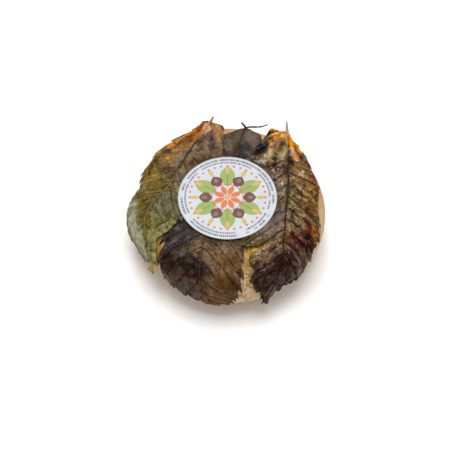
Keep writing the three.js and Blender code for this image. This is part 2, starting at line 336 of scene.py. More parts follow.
class Wire:
    """A number that changes over a surface: a shader socket with the operators of maths."""

    def __init__(self, paint: "Paint", socket: bpy.types.NodeSocket) -> None:
        """Wraps one output socket of a paint's node."""
        self.paint = paint
        self.socket = socket

    def maths(self, operation: str, *values: "Wire | float") -> "Wire":
        """A Math node on some values."""
        sockets = dict(enumerate(values))
        return self.paint.node("ShaderNodeMath", {"operation": operation}, sockets)

    def __add__(self, other: "Wire | float") -> "Wire":
        """Self + other."""
        return self.maths("ADD", self, other)

    __radd__ = __add__

    def __sub__(self, other: "Wire | float") -> "Wire":
        """Self - other."""
        return self.maths("SUBTRACT", self, other)

    def __rsub__(self, other: float) -> "Wire":
        """Other - self."""
        return self.maths("SUBTRACT", other, self)

    def __mul__(self, other: "Wire | float") -> "Wire":
        """Self * other."""
        return self.maths("MULTIPLY", self, other)

    __rmul__ = __mul__

    def __truediv__(self, other: "Wire | float") -> "Wire":
        """Self / other."""
        return self.maths("DIVIDE", self, other)

    def __abs__(self) -> "Wire":
        """The size without its sign."""
        return self.maths("ABSOLUTE", self)

    def fraction(self) -> "Wire":
        """What is left after the whole number."""
        return self.maths("FRACT", self)

    def larger(self, other: "Wire | float") -> "Wire":
        """The larger of two values."""
        return self.maths("MAXIMUM", self, other)

    def step(self, low: float, high: float) -> "Wire":
        """A smooth rise from 0 at one value to 1 at the other, whichever of them is larger.

        Args:
            low: the value where it is 0.
            high: the value where it is 1.

        Returns:
            The share from 0 to 1.
        """
        down = low > high
        span = {"From Min": min(low, high), "From Max": max(low, high)}
        ends = {"To Min": float(down), "To Max": float(not down)}
        settings = {"interpolation_type": "SMOOTHSTEP"}
        return self.paint.node("ShaderNodeMapRange", settings, {"Value": self, **span, **ends})


class Paint:
    """One material and the nodes that make it."""

    MIX_INPUTS = (6, 7)  # the Mix node's two colours, by number
    MIX_OUTPUT = 2

    def __init__(self, name: str) -> None:
        """Starts a material with no nodes.

        Args:
            name: the material's name.
        """
        self.material = bpy.data.materials.new(name)
        self.material.use_nodes = True
        self.tree = self.material.node_tree
        self.tree.nodes.clear()

    def node(self, kind: str, settings: dict, sockets: dict, out: int | str = 0) -> Wire:
        """Adds a node.

        Args:
            kind: the node's type.
            settings: its own settings, which are set first.
            sockets: the values or links of its inputs, by name or number.
            out: the output that is wanted.

        Returns:
            That output.
        """
        made = self.tree.nodes.new(kind)
        for title, value in settings.items():
            setattr(made, title, value)
        for title, value in sockets.items():
            if isinstance(value, Wire):
                self.tree.links.new(value.socket, made.inputs[title])
            else:
                made.inputs[title].default_value = value
        return Wire(self, made.outputs[out])

    def map(self, title: str) -> Wire:
        """A mesh's own map of pairs, as a vector."""
        return self.node("ShaderNodeUVMap", {"uv_map": title}, {})

    def space(self) -> Wire:
        """The place in the object's own frame, in metres."""
        return self.node("ShaderNodeTexCoord", {}, {}, "Object")

    def parts(self, vector: Wire) -> tuple[Wire, Wire, Wire]:
        """The three numbers of a vector.

        Args:
            vector: the vector.

        Returns:
            Its numbers, in order.
        """
        first = self.node("ShaderNodeSeparateXYZ", {}, {0: vector})
        outputs = first.socket.node.outputs
        return tuple(Wire(self, outputs[k]) for k in range(3))

    def join(self, x: Wire | float, y: Wire | float, z: Wire | float = 0.0) -> Wire:
        """A vector from three numbers."""
        return self.node("ShaderNodeCombineXYZ", {}, {0: x, 1: y, 2: z})

    def vector(self, operation: str, *values: Wire | Triple, out: int | str = 0) -> Wire:
        """A Vector Math node on some vectors."""
        settings = {"operation": operation}
        return self.node("ShaderNodeVectorMath", settings, dict(enumerate(values)), out)

    def scaled(self, vector: Wire, factor: float) -> Wire:
        """A vector times a number."""
        sockets = {0: vector, "Scale": factor}
        return self.node("ShaderNodeVectorMath", {"operation": "SCALE"}, sockets)

    def noise(self, place: Wire, lumps: Lumps, out: int = 0) -> Wire:
        """Noise from 0 to 1.

        Args:
            place: where it is read.
            lumps: how it looks.
            out: 0 for a number, 1 for a colour.

        Returns:
            The noise.
        """
        sockets = {"Scale": lumps.scale, "Detail": lumps.detail, "Roughness": lumps.rough}
        return self.node("ShaderNodeTexNoise", {}, {"Vector": place, **sockets}, out)

    def cells(self, place: Wire, scale: float, feature: str = "DISTANCE_TO_EDGE") -> Wire:
        """Distances in a net of cells, such as the finest veins."""
        settings = {"feature": feature}
        return self.node("ShaderNodeTexVoronoi", settings, {"Vector": place, "Scale": scale})

    def mix(self, share: Wire | float, a: Wire | Colour, b: Wire | Colour, blend: str = "MIX") -> Wire:
        """A colour that lies a share of the way from one colour to another.

        Args:
            share: 0 for the first colour, 1 for the second.
            a: the first colour.
            b: the second colour.
            blend: the way the two are put together.

        Returns:
            The colour.
        """
        pair = [(*c, 1.0) if isinstance(c, tuple) else c for c in (a, b)]
        settings = {"data_type": "RGBA", "blend_type": blend}
        sockets = {0: share, **dict(zip(self.MIX_INPUTS, pair))}
        return self.node("ShaderNodeMix", settings, sockets, self.MIX_OUTPUT)

    def finish(
        self, colour: Wire, rough: Wire | float, height: Wire, depth: float, **more: Wire | float
    ) -> bpy.types.Material:
        """Ends the material with its shader.

        Args:
            colour: the colour all over.
            rough: the roughness.
            height: the fine relief, from 0 to 1.
            depth: the depth of that relief in millimetres.
            **more: other sockets of the shader, with _ for a space.

        Returns:
            The material.
        """
        relief = {"Strength": 1.0, "Distance": depth * MM, "Height": height}
        bump = self.node("ShaderNodeBump", {}, relief)
        sockets = {title.replace("_", " "): value for title, value in more.items()}
        sockets |= {"Base Color": colour, "Roughness": rough, "Normal": bump}
        shader = self.node("ShaderNodeBsdfPrincipled", {}, sockets)
        self.show(shader)
        return self.material

    def show(self, shader: Wire) -> None:
        """Links a shader to the material's output."""
        end = self.tree.nodes.new("ShaderNodeOutputMaterial")
        self.tree.links.new(shader.socket, end.inputs["Surface"])


# ---- Finishes -----------------------------------------------------------------------------


@dataclass(frozen=True)
class Stain:
    """A soft oval of another colour on a leaf, placed in millimetres on the unrolled wheel."""

    colour: int
    at: Pair
    size: Pair  # half its length and half its width
    turn: float = 0.0  # degrees
    strength: float = 0.92
    soft: float = 0.3  # how soft its edge is, as a share of its size

    def over(self, paint: Paint, place: Wire, colour: Wire) -> Wire:
        """Paints the stain on a colour.

        Args:
            paint: the material.
            place: the place on the unrolled wheel, pulled about for an uneven edge.
            colour: the colour under it.

        Returns:
            The stained colour.
        """
        frame_of = {
            "Vector": place,
            "Location": (*self.at, 0.0),
            "Rotation": (0.0, 0.0, math.radians(self.turn)),
            "Scale": (*self.size, 1.0),
        }
        local = paint.node("ShaderNodeMapping", {"vector_type": "TEXTURE"}, frame_of)
        far = paint.vector("LENGTH", local, out="Value")
        inside = far.step(1 + self.soft, 1 - self.soft) * self.strength
        return paint.mix(inside, colour, rgb(self.colour))


@dataclass(frozen=True)
class LeafFinish:
    """The colours and the gloss of one dried leaf, with light and shade painted on its wrinkles."""

    MOTTLE = Lumps(0.2, 4.0, 0.65)  # mixes the two tones
    GRAIN = Lumps(0.32, 4.0, 0.7)
    BLOTCHES = Lumps(0.12, 3.0, 0.6)
    STREAKS = Lumps(1.0, 3.0, 0.55)
    STREAK_STRETCH = (0.42, 0.11)  # lumps for each millimetre along the leaf and out from its midrib
    CREASES = Lumps(1.0, 4.0, 0.6)
    CREASE_STRETCH = (0.26, 0.13)
    CREASE_HALF = 0.035  # half the width of the thin creases, as a share of their noise
    NET = 0.5  # cells for each millimetre in the net of fine veins
    FINE_NET = 1.3
    SPECKS = 0.36
    SPECKLED = Lumps(0.2)  # where the specks are
    BROKEN = Lumps(0.3, 2.0)  # where the side veins fade
    RIB_SHADE = Lumps(0.9, 3.0)
    DULL = Lumps(0.5, 4.0, 0.6)
    WET = Lumps(0.16, 2.0)
    WIDE = Lumps(0.11, 2.0, 0.5)  # pulls the edges of stains about
    WIDE_PULL = 9.0  # how far, in millimetres
    FINE = Lumps(0.4, 4.0, 0.7)
    FINE_PULL = 4.0
    CALM_REACH = (5, 26)  # distance from the blade's base in which its wrinkles begin
    TIP_DULLS = (11.5, 8.0)  # place along the leaf where its gloss and painted sheen end, in side veins
    SHADE_AND_TONE_SPAN = 1.5  # the span of painted light and shade, and of tone, on the blade
    LEAST_LIGHT = 0.12  # the darkest that they make it, as a share
    VEIN_HALF = 0.62  # half a side vein's width at the midrib
    VEIN_TAPER = 0.008  # what it loses for each millimetre
    RIB_HALF = 0.85  # half the midrib's width at the base
    RIB_TAPER = 0.55  # what it loses up to the tip

    name: str
    tones: tuple[int, int]  # two colours of the blade, mottled
    stains: tuple[Stain, ...]
    vein: int
    vein_strength: float
    ribs: tuple[int, int, int]  # the stalk, and the midrib's first and second stretch
    gloss: Pair  # roughness from and to
    shine: float  # the coat's weight where the blade looks wet
    sheen_and_bloom: int  # painted sheen on crests, and dry bloom
    sheen_and_bloom_strength: float
    dark: int  # painted shade in valleys and creases; also the veins' fine net, the specks and the rib's dark patches
    dark_strength: float
    underside: int
    streaks: float = 1.0  # how strong the streaks are that run with the side veins
    creases: float = 0.25  # how dark the painted shade in the thin creases is
    contrast: float = 1.0  # how strongly the wrinkles' painted light and shade show
    relief: float = 0.3  # depth of the fine relief in millimetres

    def material(self, leaf: "Leaf") -> bpy.types.Material:
        """Makes the leaf's material.

        Args:
            leaf: the leaf, which knows how its veins are spaced.

        Returns:
            The material.
        """
        paint = Paint(self.name)
        sheet = paint.map("sheet")
        phase, out, _ = paint.parts(paint.map("blade"))
        crest, turned, _ = paint.parts(paint.map("shape"))
        lengthwise = phase * leaf.vein_spacing
        blade = paint.join(lengthwise, out)

        colour = self.stained(paint, sheet)
        colour = paint.mix(turned * 0.85, colour, rgb(self.underside))
        net = paint.cells(blade, self.NET)
        fine_net = paint.cells(blade, self.FINE_NET)
        along, aside = self.STREAK_STRETCH
        streak = paint.noise(paint.join(lengthwise * along, out * aside), self.STREAKS)
        grain = paint.noise(sheet, self.GRAIN)
        blotch = paint.noise(sheet, self.BLOTCHES)

        # Painted light and shade: crests of the wrinkles are painted lighter, with a pale painted
        # sheen that also stands for dry bloom, and valleys and thin creases darker, as painted shade,
        # over a patchy tone. Round the stalk the blade is smooth, with its pleats alone.
        base = (*leaf.midrib[0], 0.0)
        calm = paint.vector("DISTANCE", sheet, base, out="Value").step(*self.CALM_REACH) * 0.8 + 0.2
        patchy = (streak - 0.5) * self.streaks + (grain - 0.5) * 1.5 + (blotch - 0.5) * 1.1
        along, aside = self.CREASE_STRETCH
        wavering = paint.noise(paint.join(lengthwise * along, out * aside), self.CREASES)
        # Thin wavering lines where creases are painted darker: painted shade.
        crease = abs(wavering - 0.5).step(self.CREASE_HALF, 0.0)
        crest_shade_and_tone = (crest - 0.5) * (calm * 0.7 + 0.6) + (patchy - crease * self.creases + 0.06) * calm
        value = (1 + crest_shade_and_tone * (self.SHADE_AND_TONE_SPAN * self.contrast)).larger(self.LEAST_LIGHT)
        colour = paint.mix(1.0, colour, value, "MULTIPLY")
        # Valleys, thin creases and dark patches take the dark colour: painted shade, with some tone.
        colour = paint.mix(crest_shade_and_tone.step(-0.15, -0.6) * self.dark_strength, colour, rgb(self.dark))
        lively = phase.step(*self.TIP_DULLS) * 0.8 + 0.2
        # The crests get a pale colour: painted sheen, which also stands for dry bloom.
        sheen_and_bloom_share = crest_shade_and_tone.step(0.15, 0.65) * lively * self.sheen_and_bloom_strength
        colour = paint.mix(sheen_and_bloom_share, colour, rgb(self.sheen_and_bloom))

        # The net of the finest veins, and specks where the blade has spots.
        wall = net.step(0.1, 0.0) * 0.3 + fine_net.step(0.14, 0.0) * 0.15
        colour = paint.mix(wall, colour, rgb(self.dark))
        speck = paint.cells(sheet, self.SPECKS, "F1").step(0.2, 0.08)
        speck = speck * paint.noise(sheet, self.SPECKLED).step(0.46, 0.58)
        colour = paint.mix(speck * calm * 0.75, colour, rgb(self.dark))
        colour = self.veined(paint, leaf, colour, blade)

        # Roughness, the fine relief, and a coat where the blade looks wet.
        dull = paint.noise(sheet, self.DULL)
        rough = dull.step(0.3, 0.7) * (self.gloss[1] - self.gloss[0]) + self.gloss[0]
        height = net.step(0.0, 0.3) * 0.3 + fine_net.step(0.0, 0.35) * 0.15 + streak + grain * 0.6
        wet = crest_shade_and_tone.step(0.0, 0.4) * paint.noise(sheet, self.WET).step(0.42, 0.62)
        wet = wet * lively * calm * self.shine
        gloss = {"Coat_Weight": wet, "Coat_Roughness": self.gloss[0], "Specular_IOR_Level": 0.08}
        return paint.finish(colour, rough, height, self.relief, **gloss)

    def stained(self, paint: Paint, sheet: Wire) -> Wire:
        """The blade's mottled colour with its stains.

        Args:
            paint: the material.
            sheet: the place on the unrolled wheel.

        Returns:
            The colour.
        """
        half = (0.5, 0.5, 0.5)
        wide = paint.vector("SUBTRACT", paint.noise(sheet, self.WIDE, 1), half)
        fine = paint.vector("SUBTRACT", paint.noise(sheet, self.FINE, 1), half)
        pulled = paint.vector("ADD", sheet, paint.scaled(wide, self.WIDE_PULL))
        pulled = paint.vector("ADD", pulled, paint.scaled(fine, self.FINE_PULL))
        pulled = paint.vector("MULTIPLY", pulled, (1.0, 1.0, 0.0))
        mottle = paint.noise(sheet, self.MOTTLE)
        colour = paint.mix(mottle.step(0.4, 0.6), rgb(self.tones[0]), rgb(self.tones[1]))
        for stain in self.stains:
            colour = stain.over(paint, pulled, colour)
        return colour

    def veined(self, paint: Paint, leaf: "Leaf", colour: Wire, blade: Wire) -> Wire:
        """Draws the side veins, which thin out towards the margin, and the midrib.

        Args:
            paint: the material.
            leaf: the leaf.
            colour: the blade's colour.
            blade: lengths along the midrib and out from it, in millimetres.

        Returns:
            The colour with the veins.
        """
        phase, out, _ = paint.parts(paint.map("blade"))
        off_vein = abs((phase + 0.5).fraction() - 0.5) * leaf.vein_spacing
        broken = paint.noise(blade, self.BROKEN).step(0.3, 0.5)
        width = self.VEIN_HALF - abs(out) * self.VEIN_TAPER
        line = (off_vein - width).step(0.2, -0.25) * abs(out).step(0.4, 1.5) * phase.step(1.4, 2.4)
        colour = paint.mix(line * broken * self.vein_strength, colour, rgb(self.vein))
        half_rib = self.RIB_HALF - phase * (self.RIB_TAPER / Leaf.VEINS)
        rib = (abs(out) - half_rib).step(0.15, -0.15)
        rib_colour = paint.mix(phase.step(0.4, 1.9), rgb(self.ribs[0]), rgb(self.ribs[1]))
        rib_colour = paint.mix(phase.step(4.0, 6.5), rib_colour, rgb(self.ribs[2]))
        rib_shade = paint.noise(blade, self.RIB_SHADE).step(0.35, 0.65) * 0.25
        rib_colour = paint.mix(rib_shade, rib_colour, rgb(self.dark))
        return paint.mix(rib, colour, rib_colour)


@dataclass(frozen=True)
class RindFinish:
    """The golden rind: satin, finely wrinkled, with paler and yellower clouds."""

    CLOUDS = Lumps(0.06, 4.0, 0.6)
    PATCHY = Lumps(0.22, 3.0, 0.6)
    GOLDEN = Lumps(0.045, 2.0)
    PORES = Lumps(0.9, 4.0, 0.7)
    CREASES = 0.28  # cells for each millimetre
    CREASED = Lumps(0.1)  # where the creases are
    SHEEN = Lumps(0.4, 3.0)
    WAVES = Lumps(0.3, 4.0, 0.6)
    BEYOND = 9.0  # so many times a patch's size away, none is seen

    light: int = 0xE0B880
    deep: int = 0xC99C5C
    tan: int = 0xA87838
    yellow: int = 0xCFA440
    pit: int = 0x8A5820
    patches_end: Pair = (16.0, 8.0)  # height above the base in which the patches end
    relief: float = 0.28  # depth of the fine relief in millimetres
    bloom: float = 0.12  # how much light comes back from inside
    patches: tuple[Stain, ...] = (  # seen from above
        Stain(0xC29A4E, (15, -62), (9, 12), 10, 0.8),
        Stain(0xD0A024, (20, -51), (6, 7), 0, 1.0),
        Stain(0xD2A438, (8, -69), (5, 8), 0, 1.0),
        Stain(0xCC9C3C, (-60, -44), (9, 9), 0, 0.7),
        # A pale patch on the front of the rind's shoulder: painted light, for light falling on the
        # front.
        Stain(0xF4D0A0, (14, -77), (20, 7), 0, 0.9),
    )

    def material(self) -> bpy.types.Material:
        """Makes the rind's material."""
        paint = Paint("rind")
        place = paint.scaled(paint.space(), 1 / MM)
        crack, bared, _ = paint.parts(paint.map("shape"))

        # Wide clouds of light, deep and yellow, and tan where the leaves leave it bare.
        cloud = paint.noise(place, self.CLOUDS)
        colour = paint.mix(cloud.step(0.4, 0.62), rgb(self.light), rgb(self.deep))
        patchy = paint.noise(place, self.PATCHY).step(0.56, 0.4)
        colour = paint.mix(bared * patchy * 0.6, colour, rgb(self.tan))
        golden = paint.noise(place, self.GOLDEN).step(0.56, 0.68) * 0.6
        colour = paint.mix(golden, colour, rgb(self.yellow))
        x, y, z = paint.parts(place)
        seen_from_above = paint.join(x, y, z.step(*self.patches_end) * self.BEYOND)
        for patch in self.patches:
            colour = patch.over(paint, seen_from_above, colour)

        # Pores, fine creases and the deeper cracks.
        pores = paint.noise(place, self.PORES)
        colour = paint.mix(pores.step(0.46, 0.3) * 0.5, colour, rgb(self.pit))
        creased = paint.noise(place, self.CREASED).step(0.4, 0.6)
        creases = paint.cells(place, self.CREASES).step(0.06, 0.0) * creased
        colour = paint.mix(creases * 0.35, colour, rgb(self.pit))
        colour = paint.mix(crack * 0.75, colour, rgb(self.pit))
        rough = paint.noise(place, self.SHEEN).step(0.3, 0.7) * 0.2 + 0.36
        height = pores * 0.7 + paint.noise(place, self.WAVES) - creases * 0.4
        inside = {"Subsurface_Weight": self.bloom, "Subsurface_Scale": 2 * MM}
        return paint.finish(colour, rough, height, self.relief, **inside)


class Ink(Enum):
    """The label's paper and its inks."""

    PAPER = 0xDCE2E9
    PAPER_CLOUD = 0xCBD3DB
    BLACK = 0x3C3D42
    GREEN = 0xA3B45C
    DARK_GREEN = 0x76903C
    OCHRE = 0xD9BC68
    MAROON = 0x6A3A38
    BROWN = 0x9C6A50
    ORANGE = 0xE5793F
    RED = 0xD2502F


@dataclass(frozen=True)
class Petals:
    """A printed ring of lens shapes that point outwards, in millimetres."""

    ink: Ink
    count: int
    shift: float  # how far the ring is turned, as a share of the step between two shapes
    middle: float  # from the label's middle to the middle of a shape
    length: float  # half of a shape's length
    width: float  # half of its width

    def inside(self, far: Wire, angle: Wire) -> Wire:
        """Where the shapes are.

        Args:
            far: the distance from the label's middle.
            angle: the direction, in turns.

        Returns:
            A share from 0 outside to 1 inside.
        """
        turn = ((angle * self.count + self.shift).fraction() - 0.5) * (FULL_TURN / self.count)
        aside = far * turn.maths("SINE", turn)
        outward = (far * turn.maths("COSINE", turn) - self.middle) / self.length
        return ((1 - outward * outward) * self.width - abs(aside)).step(-0.12, 0.12)


@dataclass(frozen=True)
class Dashes:
    """A printed ring of uneven dashes, in millimetres."""

    UNEVEN = Lumps(0.7, 1.0)
    GAPS = Lumps(0.12, 1.0)

    radius: float
    height: float  # half of the dashes' height
    count: int

    def inside(self, paint: Paint, far: Wire, angle: Wire) -> Wire:
        """Where the dashes are.

        Args:
            paint: the material.
            far: the distance from the label's middle.
            angle: the direction, in turns.

        Returns:
            A share from 0 outside to 1 inside.
        """
        dash = (angle * self.count).fraction()
        place = paint.join(angle * self.count, self.radius)
        uneven = paint.noise(place, self.UNEVEN)
        gap = paint.noise(place, self.GAPS).step(0.42, 0.45)
        long = (abs(dash - 0.5) - uneven * 0.62).step(0.08, -0.08) * gap
        tall = (abs(far - self.radius) - self.height * (uneven + 0.4)).step(0.12, -0.12)
        return long * tall


@dataclass(frozen=True)
class LabelFinish:
    """Smooth paper printed with rings of dashes and a wreath of leaves, nuts and petals."""

    CLOUDS = Lumps(0.05, 2.0)
    SHEEN = Lumps(0.3, 3.0)
    WAVES = Lumps(0.12, 2.0)
    FIBRES = Lumps(3.0, 2.0)

    dashes: tuple[Dashes, ...] = (Dashes(37.0, 0.95, 150), Dashes(34.2, 0.75, 150))
    wreath: tuple[Petals, ...] = (
        Petals(Ink.GREEN, 6, 0.0, 20.5, 10.5, 6.2),
        Petals(Ink.DARK_GREEN, 6, 0.0, 20.5, 9.5, 0.4),
        Petals(Ink.OCHRE, 12, 0.5, 26.8, 4.2, 1.8),
        Petals(Ink.MAROON, 6, 0.5, 17.6, 5.6, 5.0),
        Petals(Ink.BROWN, 6, 0.5, 18.6, 2.6, 1.9),
        Petals(Ink.ORANGE, 8, 0.0, 7.2, 5.0, 2.3),
        Petals(Ink.ORANGE, 36, 0.5, 30.6, 1.1, 1.1),
    )
    circle: Pair = (12.7, 0.3)  # radius and half the width of the thin circle
    heart: float = 2.4  # radius of the dot in the middle
    relief: float = 0.3  # depth of the paper's waves in millimetres

    def material(self) -> bpy.types.Material:
        """Makes the label's material."""
        paint = Paint("label_paper")
        print_place = paint.map("print")
        x, y, _ = paint.parts(print_place)
        far = paint.vector("LENGTH", print_place, out="Value")
        angle = far.maths("ARCTAN2", y, x) * (1 / FULL_TURN)

        def printed(colour: Wire, share: Wire, ink: Ink) -> Wire:
            """Prints one ink over a colour."""
            return paint.mix(share, colour, rgb(ink.value))

        cloud = paint.noise(print_place, self.CLOUDS).step(0.3, 0.7) * 0.35
        colour = paint.mix(cloud, rgb(Ink.PAPER.value), rgb(Ink.PAPER_CLOUD.value))
        for ring in self.dashes:
            colour = printed(colour, ring.inside(paint, far, angle) * 0.95, Ink.BLACK)
        for ring in self.wreath:
            colour = printed(colour, ring.inside(far, angle), ring.ink)
        radius, half = self.circle
        colour = printed(colour, (abs(far - radius) - half).step(0.1, -0.1), Ink.RED)
        colour = printed(colour, (far - self.heart).step(0.1, -0.1), Ink.OCHRE)
        rough = paint.noise(print_place, self.SHEEN) * 0.12 + 0.34
        fibres = paint.noise(print_place, self.FIBRES)
        height = paint.noise(print_place, self.WAVES) + fibres * 0.08
        return paint.finish(colour, rough, height, self.relief, Specular_IOR_Level=0.45)


# ---- The wheel ----------------------------------------------------------------------------


@dataclass(frozen=True)
class PressedSide:
    """A place where the soft young wheel is pressed in."""

    at: float  # direction in degrees
    depth: float
    spread: float  # degrees to either side


@dataclass(frozen=True)
class Wheel:
    """The cheese: flat top and base, round shoulder and foot, and two pressed-in sides."""

    height: float
    radius: float = 80.0
    shoulder_round: float = 17.0
    foot_round: float = 27.0
    pressed_sides: tuple[PressedSide, ...] = (
        PressedSide(at=164.0, depth=5.0, spread=22.0),
        PressedSide(at=222.0, depth=3.6, spread=34.0),
    )
    wave: float = 0.25  # depth of the rind's slow waves
    wave_width: float = 16.0
    wrinkle: float = 0.2  # depth of its fine wrinkles
    wrinkle_width: Pair = (4.4, 3.2)  # along and up the side
    pit_width: float = 1.9
    cobble: float = 1.0  # depth of the cracks where the leaves leave it bare
    cobble_width: float = 3.4
    bared_strip: tuple[Pair, Pair] = ((20.0, -48.0), (12.0, -100.0))
    bared_edge: Pair = (13.0, 8.0)  # distances from the strip's middle line in which it ends
    smooth_foot: float = 8.0  # length before the base in which waves and wrinkles end
    sectors: int = 600
    seed: int = 11

    @property
    def shoulder_at(self) -> float:
        """The length along the skin where the top ends."""
        return self.radius - self.shoulder_round

    @property
    def side_at(self) -> float:
        """The length where the upright side begins."""
        return self.shoulder_at + self.shoulder_round * QUARTER_TURN

    @property
    def foot_at(self) -> float:
        """The length where the foot's round begins."""
        return self.side_at + self.height - self.shoulder_round - self.foot_round

    @property
    def base_at(self) -> float:
        """The length where the flat base begins."""
        return self.foot_at + self.foot_round * QUARTER_TURN

    def profile(self, length: np.ndarray) -> tuple[np.ndarray, ...]:
        """The round wheel's skin at lengths along it.

        Args:
            length: lengths from the middle of the top.

        Returns:
            Radius, height, and the outward direction's two numbers.
        """
        up = np.clip((length - self.shoulder_at) / self.shoulder_round, 0, QUARTER_TURN)
        down = np.clip((length - self.foot_at) / self.foot_round, 0, QUARTER_TURN)
        fallen = np.clip(length - self.side_at, 0, self.foot_at - self.side_at)
        base = np.maximum(length - self.base_at, 0)
        r = np.minimum(length, self.shoulder_at) + self.shoulder_round * np.sin(up)
        r = r - self.foot_round * (1 - np.cos(down)) - base
        z = self.height - self.shoulder_round * (1 - np.cos(up)) - fallen
        z = z - self.foot_round * np.sin(down)
        return r, z, np.sin(up) * np.cos(down), np.cos(up) - np.sin(down)

    def pressed(self, angle: np.ndarray) -> np.ndarray:
        """How wide the wheel is where its sides are pressed in.

        Args:
            angle: directions in radians.

        Returns:
            Its width there, as a share of the round wheel's.
        """
        share = np.ones_like(angle)
        for side in self.pressed_sides:
            away = np.abs(np.degrees(angle) - side.at) % 360
            away = np.minimum(away, 360 - away) / side.spread
            share -= side.depth / self.radius * np.cos(np.minimum(away, 1) * QUARTER_TURN) ** 2
        return share

    def on_skin(self, x: np.ndarray, y: np.ndarray, above: np.ndarray) -> np.ndarray:
        """Points at a height above the skin, at places on the unrolled wheel.

        Args:
            x: first coordinates on the unrolled wheel.
            y: second coordinates.
            above: heights above the skin.

        Returns:
            The points, with their three coordinates last.
        """
        angle = np.arctan2(y, x)
        r, z, out_r, out_z = self.profile(np.hypot(x, y))
        out = r * self.pressed(angle) + above * out_r
        return np.stack([out * np.cos(angle), out * np.sin(angle), z + above * out_z], axis=-1)

    def relief(self, points: np.ndarray, unrolled: np.ndarray) -> tuple[np.ndarray, np.ndarray]:
        """How far the rind's waves and wrinkles lie below the smooth skin.

        Args:
            points: the smooth skin's points.
            unrolled: their places on the unrolled wheel.

        Returns:
            Depths, which are zero on the base, and how far each point is in a crack, from 0 to 1.
        """
        grain = Grain(self.seed)
        x, y, z = (points[..., k] for k in range(3))
        length = np.linalg.norm(unrolled, axis=-1)
        wide, (around, up) = self.wave_width, self.wrinkle_width
        pit, cobble = self.pit_width, self.cobble_width
        slow = 0.5 - 0.5 * grain(x / wide, y / wide, z / wide)
        folds = 1 - np.abs(grain(x / around + 7, y / around, z / up))
        small = 0.5 + 0.5 * grain(x / pit, y / pit + 3, z / pit)
        cobbled = 1 - 2.6 * np.abs(grain(x / cobble, y / cobble + 9, z / cobble))
        cobbled = np.maximum(cobbled, 0) ** 1.5
        shown = step(self.base_at, self.base_at - self.smooth_foot, length)
        crack = cobbled * self.bared(unrolled)
        fine = self.wrinkle * (folds**3 + 0.5 * small) + self.cobble * crack
        return shown * (self.wave * slow + fine), crack

    def bared(self, unrolled: np.ndarray) -> np.ndarray:
        """How far places lie in the strip that the leaves leave bare.

        Args:
            unrolled: places on the unrolled wheel.

        Returns:
            Shares from 0 outside to 1 inside.
        """
        start, end = (np.array(p) for p in self.bared_strip)
        run = end - start
        share = np.clip((unrolled - start) @ run / (run @ run), 0, 1)
        off = np.linalg.norm(unrolled - start - share[..., None] * run, axis=-1)
        return step(*self.bared_edge, off)

    def build(self) -> bpy.types.Object:
        """Makes the cheese."""
        last = self.base_at + self.radius - self.foot_round
        halfway = (self.side_at + self.foot_at) / 2
        stretches = (  # from, to, and how many rings
            (2, 40, 10),
            (41, halfway, 74),
            (halfway + 0.7, self.base_at, 64),
            (self.base_at + 3, last - 3, 10),
        )
        lengths = np.concatenate([np.linspace(*stretch) for stretch in stretches])
        angles = np.linspace(0, FULL_TURN, self.sectors, endpoint=False)
        length, angle = np.meshgrid(lengths, angles, indexing="ij")
        x, y = length * np.cos(angle), length * np.sin(angle)
        unrolled = np.stack([x, y], axis=-1)
        depth, crack = self.relief(self.on_skin(x, y, np.zeros_like(x)), unrolled)
        rings = self.on_skin(x, y, -depth)
        points = np.vstack([[(0, 0, self.height)], rings.reshape(-1, 3), [(0, 0, 0)]])

        count = self.sectors
        numbers = 1 + np.arange(len(lengths) * count).reshape(-1, count)
        after = np.roll(numbers, -1, axis=1)
        bands = np.stack([numbers[:-1], numbers[1:], after[1:], after[:-1]], axis=-1).reshape(-1, 4)
        end = len(points) - 1
        faces = [(0, a, b) for a, b in zip(numbers[0], after[0])]
        faces += bands.tolist()
        faces += [(end, b, a) for a, b in zip(numbers[-1], after[-1])]
        shape = np.stack([crack, self.bared(unrolled)], axis=-1).reshape(-1, 2)
        maps = {"shape": np.vstack([[(0, 0)], shape, [(0, 0)]])}
        skin = Skin(points, [tuple(int(n) for n in face) for face in faces], maps)
        skin.bake = self.bake_map(faces, length, angle, halfway)
        return skin.piece("cheese", RindFinish().material())

    def bake_map(
        self, faces: list, length: np.ndarray, angle: np.ndarray, halfway: float
    ) -> np.ndarray:
        """A map of two discs side by side: what is seen from above, and from below.

        Args:
            faces: the mesh's faces.
            length: the lengths of its rings.
            angle: the directions of their points.
            halfway: the length where the two discs part.

        Returns:
            A pair for each corner of each face.
        """
        almost = 0.999
        total = self.base_at + self.radius - self.foot_round
        upper = np.concatenate([[0], (length / halfway).ravel(), [0]])
        lower = np.concatenate([[0], ((total - length) / (total - halfway)).ravel(), [0]])
        turn = np.concatenate([[0], angle.ravel(), [0]])
        circle = np.stack([0.24 * np.cos(turn), 0.48 * np.sin(turn)], axis=-1)
        above = circle * upper[:, None] + (0.25, 0.5)
        below = circle * lower[:, None] + (0.75, 0.5)
        last = len(turn) - 1
        places = []
        for face in faces:
            is_below = face[0] == last or min(upper[n] for n in face if n) > almost
            places.append((below if is_below else above)[list(face)])
        return np.vstack(places)


